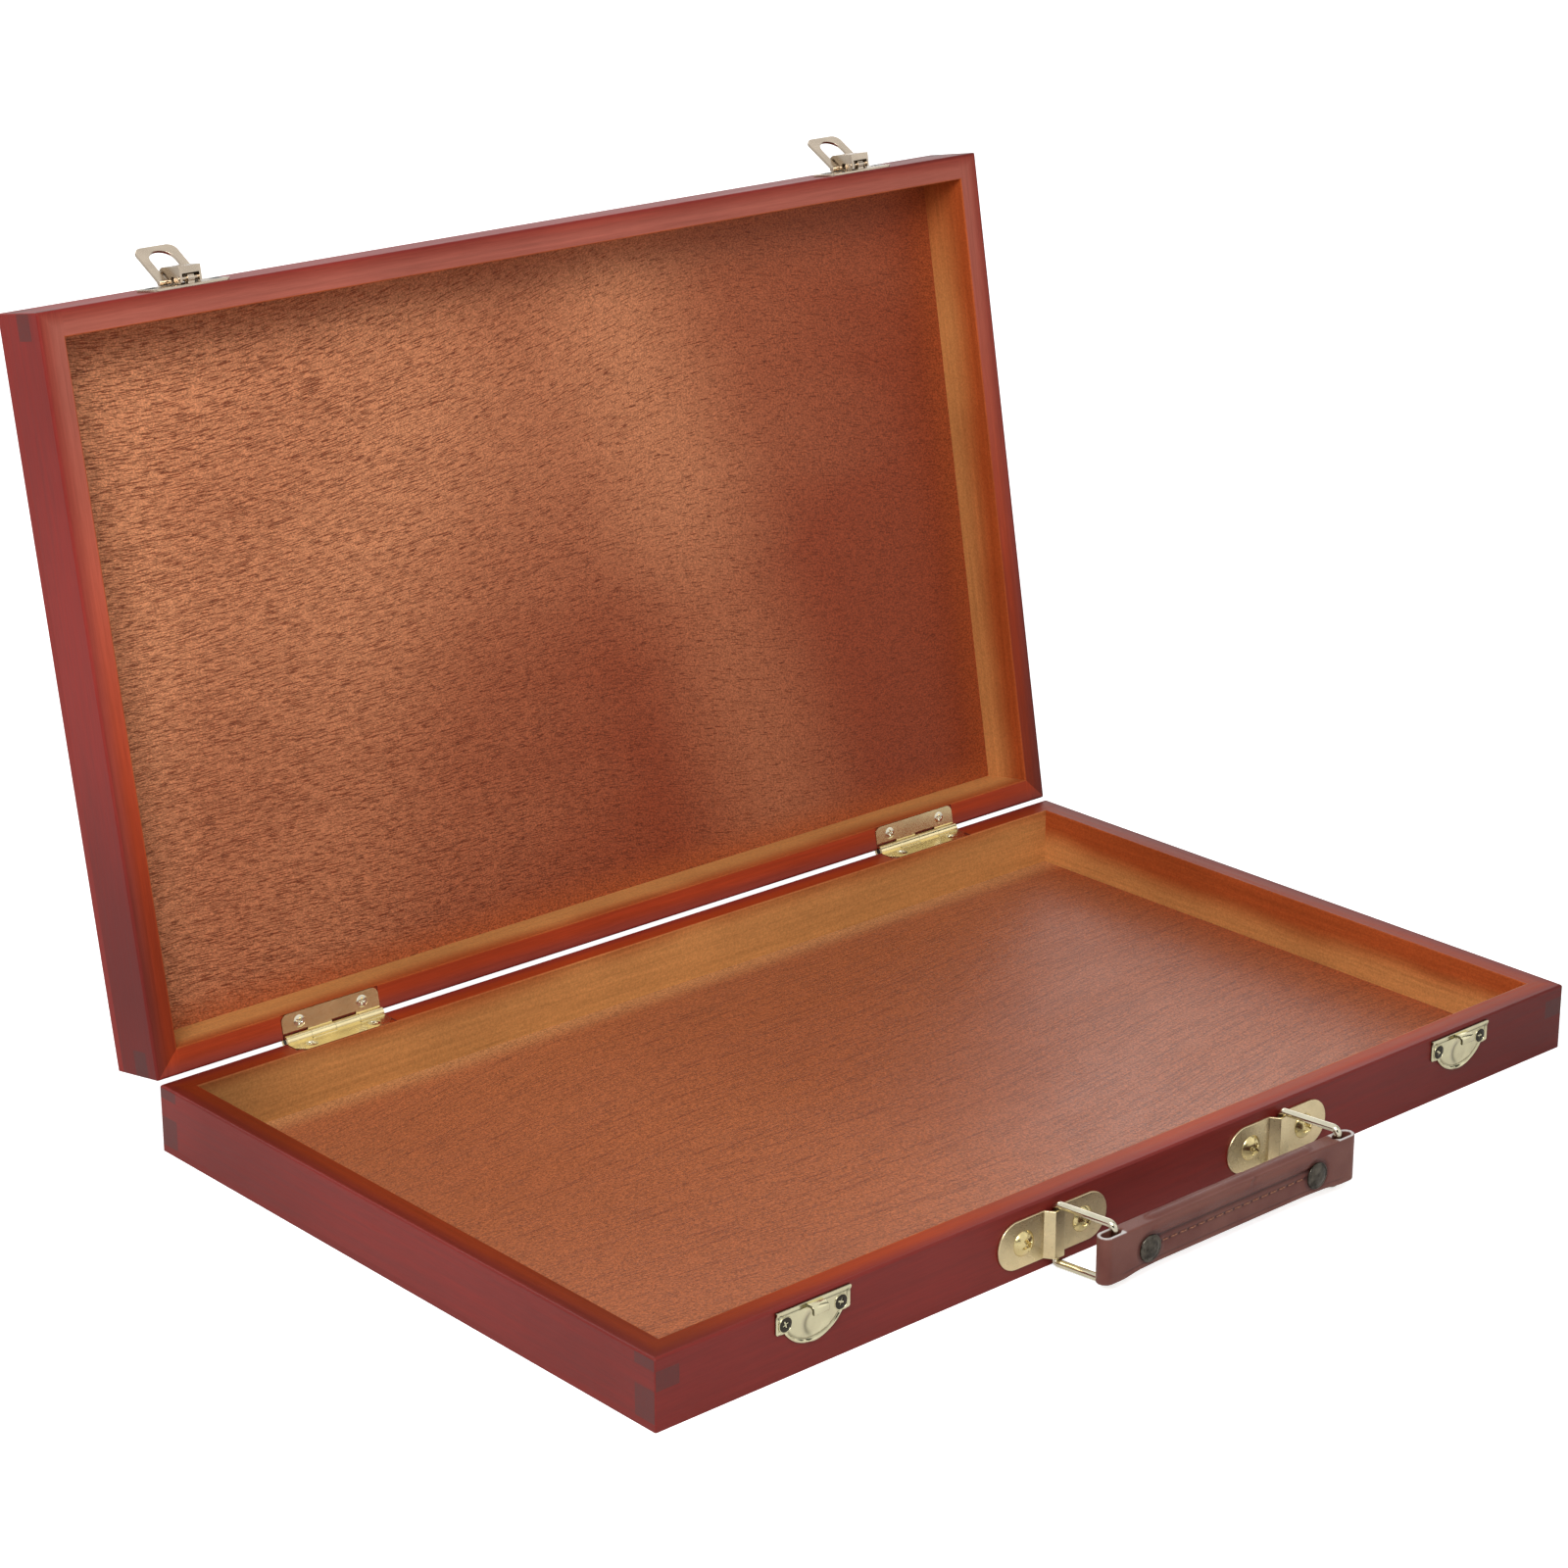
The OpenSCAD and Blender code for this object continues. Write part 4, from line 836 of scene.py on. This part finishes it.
def screwMesh(name, s):  # domed head with a cross recess, its rim at height 0
    ball = (s["head"] ** 2 + s["rise"] ** 2) / (2 * s["rise"])
    radii = [s["head"] * k / 26 for k in range(27)]
    top = [(r, math.sqrt(ball * ball - r * r) - ball + s["rise"]) for r in radii]
    sunk = [(s["head"], -0.15), (s["neck"], -0.15 - (s["head"] - s["neck"]))]
    flat = [(s["head"], -0.02), (s["neck"], -0.02)]
    low = flat if s["rise"] > 1 else sunk  # a high dome sits on its plate
    tip = [(s["neck"], 2 * s["neck"] - s["length"]), (s["neck"] / 4, -s["length"]), (0, -s["length"])]

    def recess(x, y, z):  # depth of the cross slot at a point of the dome
        if z < -0.01 or math.hypot(x, y) > s["head"] * 0.93:
            return 0
        across, along = sorted((abs(x), abs(y)))
        reach = 1 - min(1, along / s["arm"]) ** 3
        wall = min(1, max(0, (s["slot"] * (0.62 + 0.2 * (1 - along / s["arm"])) - across) / 0.16))
        centre = max(0, 1 - math.hypot(x, y) / (s["slot"] * 1.15))
        return s["slotDeep"] * max(reach * wall, centre) if along < s["arm"] else 0

    return spunMesh(name, top + low + tip, 72, recess)


def newTree(name, inputs):  # a Geometry Nodes tree with named inputs and one geometry output
    tree = bpy.data.node_groups.new(name, "GeometryNodeTree")
    for label, kind in inputs.items():
        tree.interface.new_socket(label, in_out="INPUT", socket_type=f"NodeSocket{kind}")
    tree.interface.new_socket("Geometry", in_out="OUTPUT", socket_type="NodeSocketGeometry")
    node = functools.partial(addNode, tree)
    return tree, node, node("NodeGroupInput").outputs


def fastenerTree():  # puts one turned part at each point, facing the way the point says
    tree, node, given = newTree("fastenerRow", {
        "Geometry": "Geometry", "Part": "Object", "Size": "Float", "Turn": "Float", "Seed": "Int",
        "Finish": "Material"})
    part = node("GeometryNodeObjectInfo", {"Object": given["Part"]}).outputs["Geometry"]
    facing = node("GeometryNodeInputNamedAttribute", {"Name": "facing"}, data_type="FLOAT_VECTOR")
    turned = node("FunctionNodeAlignEulerToVector", {"Vector": facing}, axis="Z")
    points = node("GeometryNodeMeshToPoints", {"Mesh": given["Geometry"]})
    placed = node("GeometryNodeInstanceOnPoints", {
        "Points": points, "Instance": part, "Rotation": turned, "Scale": given["Size"]})
    spin = node("FunctionNodeRandomValue", {3: given["Turn"], "Seed": given["Seed"]}, data_type="FLOAT")
    about = node("CombineXYZ", {2: spin})
    spun = node("GeometryNodeRotateInstances", {"Instances": placed, "Rotation": about})
    real = node("GeometryNodeRealizeInstances", {"Geometry": spun})
    painted = node("GeometryNodeSetMaterial", {"Geometry": real, "Material": given["Finish"]})
    node("NodeGroupOutput", {"Geometry": painted})
    return tree


fasteners = fastenerTree()


def addRow(piece, tree, values):  # a Geometry Nodes modifier, its inputs set by socket identifier
    modifier = piece.modifiers.new(tree.name, "NODES")
    modifier.node_group = tree
    sockets = {s.name: s.identifier for s in tree.interface.items_tree if s.in_out == "INPUT"}
    for name, value in values.items():
        modifier[sockets[name]] = value


def placeFasteners(name, part, places, material, seed):
    mesh = bpy.data.meshes.new(name)
    mesh.from_pydata([p for p, d in places], [], [])
    facing = mesh.attributes.new("facing", "FLOAT_VECTOR", "POINT")
    for k, (p, d) in enumerate(places):
        facing.data[k].vector = d
    sample = addPiece(f"{name}Sample", part, [])
    piece = addPiece(name, mesh, [])
    addRow(piece, fasteners, {
        "Part": sample, "Size": 1.0, "Turn": math.pi, "Seed": seed, "Finish": material})
    settle(piece)
    bpy.data.objects.remove(sample)
    return piece


for seed, (kind, s) in enumerate(screws.items()):
    piece = placeFasteners(f"{kind}Screws", screwMesh(f"{kind}Screw", s), screwPlaces(s),
                           metalMaterials[s["metal"]], 11 + seed)
    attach(piece, bodyName(s["node"]))
    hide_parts(s["node"])
print("screws ready")


stitchPitch = 4.05  # mm
grip = {  # mm; x and y of its middle, heights from the tray's underside, lengths from its middle
    "x": 7.892, "y": -145.69, "low": 3.1, "barLow": 4.0, "loopHigh": 18.5,
    "halfLength": 56.55, "halfThick": 2.85, "thin": 2.35, "leather": 1.2, "barHalf": 47.0,
    "eyeStart": 46.6, "eyeFull": 49.9, "eyeHalf": 1.65, "loopStart": 41, "loopLow": 50,
    "rollRadius": 3.2, "rollHalf": 42.5, "rollZ": 16.0, "rollTaper": 9, "voxel": 0.32,
    "grooveZ": 12.6, "grooveDeep": 0.6, "grooveWide": 0.75,
    "seamZ": 10.3, "seamDeep": 0.16, "seamWide": 0.7, "seamEnd": 33,
    "holeDeep": 0.2, "holeWide": 0.42, "hemUp": 1.1, "hemDeep": 0.1, "hemWide": 0.35,
    "rivetX": 37.5, "rivetZ": 9.9, "dentDeep": 0.2, "dentStart": 3.9, "dentFull": 4.6, "dentEnd": 6.2,
    "waveDeep": 0.12, "wrinkleDeep": 0.2,
}
# one of the leather's pale colours is a painted highlight along the top of the roll
leather = {  # smooth bridle leather, rolled and waxed: even colour, tight pores, soft gloss
    # the darkest colour here is painted shade in the grip's creases, grooves and holes
    "colour": "#60332b", "pale": "#6f4339", "crease": "#381c19", "rubbed": "#70443a",
    "cutEdge": "#c6c1bd", "roughness": 0.38, "gloss": 0.27,
    "poreSize": 0.55, "poreHeight": 0.02, "fineSize": 0.4, "cloudSize": 14,  # mm
}


def makeLeather():
    s = leather
    material, node = newMaterial("bridleLeather")
    place = node("TexCoord").outputs["Object"]
    cloud, fine = [node("TexNoise", {"Vector": place, "Scale": 1 / (size * mm), "Detail": 3})
                   for size in (s["cloudSize"], s["fineSize"])]
    cells = node("TexVoronoi", {"Vector": place, "Scale": 1 / (s["poreSize"] * mm)},
                 feature="DISTANCE_TO_EDGE").outputs["Distance"]
    share = node("MapRange", [cloud, 0.35, 0.65])
    colour = node("Mix", {0: share, 6: linear(s["colour"]), 7: linear(s["pale"])}, **rgba)
    # two of these marks are painted light: shade in creases and holes, and a highlight along the roll
    for mark in ("rubbed", "crease", "cutEdge"):  # attributes of the grip's mesh
        share = node("Attribute", attribute_name=mark).outputs["Fac"]
        colour = node("Mix", {0: share, 6: colour, 7: linear(s[mark])}, **rgba)
    cell = node("MapRange", [cells, 0, 0.12])
    height = node("Math", [cell, fine], operation="ADD")
    bump = node("Bump", {"Height": height, "Strength": 0.6, "Distance": s["poreHeight"] * mm})
    rough = node("MapRange", [fine, 0.3, 0.7, s["roughness"] - 0.05, s["roughness"] + 0.1])
    shader = node("BsdfPrincipled", {
        "Base Color": colour, "Roughness": rough, "IOR": 1.48, "Specular IOR Level": s["gloss"],
        "Normal": bump})
    node("OutputMaterial", {"Surface": shader})
    return material


def endRound(u, half):  # half width of a shape that is rounded at the grip's end
    bend = grip["halfLength"] - grip["halfThick"]
    return math.sqrt(max(0, half ** 2 - max(0, u - bend) ** 2))


def eyeHalf(u):  # half width of the eye that the wire runs through
    g = grip
    if u < g["eyeFull"]:
        return g["eyeHalf"] * ease(u, g["eyeStart"], g["eyeFull"])
    return endRound(u, g["eyeHalf"])


def gripLow(u):  # the lower edge hangs a little at the loops
    g = grip
    return g["low"] + (g["barLow"] - g["low"]) * (1 - ease(u, g["loopStart"], g["loopLow"]))


def addLoop(bm, end):  # one leather loop, a closed ring of full height
    g = grip
    start = g["loopStart"]

    def outline(first, last, half, steps=40):
        us = [last - (last - first) * (1 - math.cos(math.pi * k / steps)) / 2 for k in range(steps + 1)]
        return [(u, half(u)) for u in us] + [(u, -half(u)) for u in reversed(us[1:-1])]

    def outerHalf(u):
        return endRound(u, g["halfThick"]) * ease(u, start - 0.1, start + 0.6)

    outer = outline(start, g["halfLength"], outerHalf)
    inner = outline(g["eyeStart"], g["halfLength"] - g["leather"], eyeHalf)
    rings = []
    for points, z in ((outer, "low"), (outer, "loopHigh"), (inner, "loopHigh"), (inner, "low")):
        rings.append([bm.verts.new(Vector((g["x"] + end * u, g["y"] + y, g[z])) * mm) for u, y in points])
    bridge(bm, rings, closed=True)


def addLoft(bm, stations):  # closed loft through sections of Y and Z points
    rings = [[bm.verts.new(Vector((x, y, z)) * mm) for y, z in section] for x, section in stations]
    bridge(bm, rings)
    bm.faces.new(rings[0])
    bm.faces.new(rings[-1])


def makeGrip():  # loops, bar and roll grown into one skin, then pressed and creased
    g = grip
    bm = bmesh.new()
    for end in (-1, 1):
        addLoop(bm, end)
    bar, roll = [], []
    steps = 60
    half = g["halfThick"] - 0.02
    corners = [(g["y"] + side * half, g[z])
               for side, z in ((-1, "low"), (1, "low"), (1, "loopHigh"), (-1, "loopHigh"))]
    for k in range(steps + 1):
        way = 2 * k / steps - 1
        bar.append((g["x"] + g["barHalf"] * way, corners))
        x = g["rollHalf"] * math.sin(math.pi / 2 * way)
        full = math.sqrt(max(0.02, 1 - ease(abs(x), g["rollHalf"] - g["rollTaper"], g["rollHalf"])))
        r = g["rollRadius"] * (0.55 + 0.45 * full)
        centre = (g["y"], g["rollZ"] - 0.8 * (g["rollRadius"] - r))
        roll.append((g["x"] + x, list(roundPoints(centre, r, 0, 360, 24))[:-1]))
    addLoft(bm, bar)
    addLoft(bm, roll)
    bmesh.ops.recalc_face_normals(bm, faces=bm.faces)
    piece = addPiece("gripLeather", plainMesh(bm, "gripLeather"), [])
    skin = piece.modifiers.new("evenSkin", "REMESH")
    skin.mode = "VOXEL"
    skin.voxel_size = g["voxel"] * mm
    soft = piece.modifiers.new("softEdges", "SMOOTH")
    soft.factor = 0.5
    soft.iterations = 3
    settle(piece)
    mesh = piece.data
    cut, crease, rubbed = [mesh.attributes.new(mark, "FLOAT", "POINT")
                           for mark in ("cutEdge", "crease", "rubbed")]
    moved = []
    for v in mesh.vertices:  # push is outwards, across the grip
        x, y, z = (v.co / mm)[:]
        x, y = x - g["x"], y - g["y"]
        end = abs(x)
        body = 1 - ease(end, g["rollHalf"] - g["rollTaper"] - 2, g["rollHalf"] + 2)
        outer = ease(abs(y), 1.9, 2.5)  # only the two faces are pressed, not the edges between
        gap = math.hypot(end - g["rivetX"], z - g["rivetZ"])  # from the nearer rivet
        push = -(g["halfThick"] - g["thin"]) * (1 - ease(z, 11, 13.5)) * body * ease(gap, 4, 7)
        groove = valley(z, g["grooveZ"], g["grooveWide"]) * body
        push -= g["grooveDeep"] * groove
        seam = valley(z, g["seamZ"], g["seamWide"]) * (1 - ease(end, g["seamEnd"], g["seamEnd"] + 3))
        push -= g["seamDeep"] * seam
        step = (x / stitchPitch + 0.5) % 1 - 0.5  # awl holes lie halfway between stitches
        hole = valley(math.hypot(step * stitchPitch, z - g["seamZ"]), 0, g["holeWide"])
        hole *= end < g["seamEnd"]
        push -= g["holeDeep"] * hole
        ring = ease(gap, g["dentStart"], g["dentFull"]) * (1 - ease(gap, g["dentFull"], g["dentEnd"]))
        push -= g["dentDeep"] * ring
        wave = math.sin(x * 0.31 + 0.6 * math.sin(x * 0.13))
        push += g["waveDeep"] * wave * valley(z, g["rollZ"] - 0.5, 3) * body
        wrinkle = valley(x, 5 + 0.9 * (z - 16), 0.9) - 0.8 * valley(x, 7.2 + 0.7 * (z - 16), 0.8)
        push += g["wrinkleDeep"] * wrinkle * ease(z, 15, 18)
        hem = valley(z, g["barLow"] + g["hemUp"], g["hemWide"]) * (1 - ease(end, 47, 52))
        push -= g["hemDeep"] * hem
        lift = (gripLow(end) - g["low"]) * (1 - ease(z, g["low"], g["low"] + 5))
        moved.append((v.index, (push if y > 0 else -push) * outer, lift))
        rim = (z > g["loopHigh"] - 0.45 or z < g["low"] + 0.45) * ease(end, 47.4, 48.2)
        cut.data[v.index].value = ease(abs(v.normal.z), 0.45, 0.85) * rim
        # painted shade in the groove, seam, rivet dents, hem, awl holes and wrinkle valleys
        dark = 0.75 * groove + 0.3 * seam + 0.6 * ring + 0.5 * hem + hole
        dark += 0.35 * max(0, -wrinkle) * ease(z, 15, 18)
        crease.data[v.index].value = min(1, dark) * outer
        # a painted highlight along the top of the roll
        rubbed.data[v.index].value = valley(z, g["rollZ"] + 1.5, 1.1) * body
    for index, dy, dz in moved:
        mesh.vertices[index].co.y += dy * mm
        mesh.vertices[index].co.z += dz * mm
    for face in mesh.polygons:
        face.use_smooth = True
    mesh.materials.append(makeLeather())
    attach(piece, "grip")
    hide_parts("grip_cover", "grip_core")


makeGrip()
print("grip leather ready")

rivets = {  # radius and height of the head, radius of the shank and how deep it goes, in mm
    "front": {"radius": 4.4, "height": 0.9, "shank": 1.5, "sink": 2.6, "node": "grip_rivets", "side": -1},
    "rear": {"radius": 4.0, "height": 0.7, "shank": 1.5, "sink": 0.2, "node": "grip_rivet_caps",
             "side": 1},
}


def rivetMesh(name, s):  # shallow dome inside a raised rim, on its shank
    r, h = s["radius"], s["height"]
    shares = ((0, 0.93), (0.25, 0.92), (0.5, 0.86), (0.68, 0.76), (0.79, 0.62), (0.83, 0.55),
              (0.87, 0.6), (0.92, 0.66), (0.965, 0.58), (0.992, 0.36), (1, 0.1))
    dome = [(across * r, up * h) for across, up in shares]
    shank = [(s["shank"], -0.1), (s["shank"], -s["sink"]), (0, -s["sink"])]
    return spunMesh(name, [*dome, (r, -0.1), *shank], 72)


for name, s in rivets.items():
    y = grip["y"] + s["side"] * (grip["halfThick"] - 0.12)
    places = [(Vector((grip["x"] + end * grip["rivetX"], y, grip["rivetZ"])) * mm,
               Vector((0, s["side"], 0))) for end in (-1, 1)]
    piece = placeFasteners(f"{name}Rivets", rivetMesh(f"{name}Rivet", s), places,
                           metalMaterials["antiqueBronze"], 31)
    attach(piece, "grip")
    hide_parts(s["node"])


stitches = {  # share of the pitch that a stitch takes, its thickness and height in mm, its tilt
    "count": 16, "pitch": stitchPitch, "share": 0.72, "thread": 0.2, "rise": 0.34, "dip": 0.3,
    "tilt": 0.05, "tiltBack": -0.06, "colour": "#74452f", "pale": "#99694e", "twist": 2.2,
}


def makeThread():  # waxed linen: a matt twist of two plies
    s = stitches
    material, node = newMaterial("waxedThread")
    place = node("TexCoord").outputs["Object"]
    twist = node("TexWave", {"Vector": place, "Scale": 1 / (s["twist"] * mm), "Distortion": 1},
                 bands_direction="DIAGONAL").outputs["Fac"]
    colour = node("Mix", {0: twist, 6: linear(s["colour"]), 7: linear(s["pale"])}, **rgba)
    bump = node("Bump", {"Height": twist, "Distance": 0.05 * mm})
    shader = node("BsdfPrincipled", {"Base Color": colour, "Roughness": 0.6, "Normal": bump})
    node("OutputMaterial", {"Surface": shader})
    return material


def stitchTree():  # a row of arched stitches along X, each dipping into the leather at its ends
    tree, node, given = newTree("stitchRow", {
        "Count": "Int", "Pitch": "Float", "Length": "Float", "Thread": "Float", "Rise": "Float",
        "Dip": "Float", "Tilt": "Float", "Start": "Vector", "Seed": "Int", "Finish": "Material"})
    step = node("CombineXYZ", [given["Pitch"]])
    row = node("GeometryNodeMeshLine", {
        "Count": given["Count"], "Start Location": given["Start"], "Offset": step})
    half = node("Math", [given["Length"], 0.5], operation="MULTIPLY")
    minus, low = [node("Math", [value, -1], operation="MULTIPLY")
                  for value in (half, given["Dip"])]
    first = node("CombineXYZ", [minus, low])
    middle = node("CombineXYZ", {1: given["Rise"]})
    last = node("CombineXYZ", [half, low])
    arch = node("GeometryNodeCurveQuadraticBezier", {
        "Resolution": 10, "Start": first, "Middle": middle, "End": last})
    ring = node("GeometryNodeCurvePrimitiveCircle", {"Resolution": 10, "Radius": given["Thread"]})
    stitch = node("GeometryNodeCurveToMesh", {"Curve": arch, "Profile Curve": ring, "Fill Caps": True})
    placed = node("GeometryNodeInstanceOnPoints", {"Points": row, "Instance": stitch})
    tilt = node("FunctionNodeRandomValue", {
        2: stitches["tiltBack"], 3: given["Tilt"], "Seed": given["Seed"]}, data_type="FLOAT")
    about = node("CombineXYZ", {1: tilt})
    turned = node("GeometryNodeRotateInstances", {"Instances": placed, "Rotation": about})
    real = node("GeometryNodeRealizeInstances", {"Geometry": turned})
    smoothed = node("GeometryNodeSetShadeSmooth", {"Geometry": real})
    painted = node("GeometryNodeSetMaterial", {"Geometry": smoothed, "Material": given["Finish"]})
    node("NodeGroupOutput", {"Geometry": painted})
    return tree


def makeStitches():
    s = stitches
    thread = makeThread()
    tree = stitchTree()
    rows = []
    for side in (-1, 1):
        row = addPiece(f"stitchRow{side}", bpy.data.meshes.new("stitchRow"), [])
        start = Vector((grip["x"] - (s["count"] - 1) / 2 * s["pitch"],
                        grip["y"] + side * (grip["thin"] - 0.1), grip["seamZ"])) * mm
        addRow(row, tree, {
            "Count": s["count"], "Pitch": s["pitch"] * mm, "Length": s["pitch"] * s["share"] * mm,
            "Thread": s["thread"] * mm, "Rise": side * s["rise"] * mm, "Dip": side * s["dip"] * mm,
            "Tilt": s["tilt"], "Start": start, "Seed": 5 + side, "Finish": thread})
        settle(row)
        rows.append(row)
    bm = bmesh.new()
    for row in rows:
        bm.from_mesh(row.data)
        bpy.data.objects.remove(row)
    bmesh.ops.recalc_face_normals(bm, faces=bm.faces)
    piece = addPiece("gripStitches", smoothMesh(bm, "gripStitches", 60), [thread])
    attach(piece, "grip")
    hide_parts("grip_stitching")


makeStitches()
print("grip stitched")
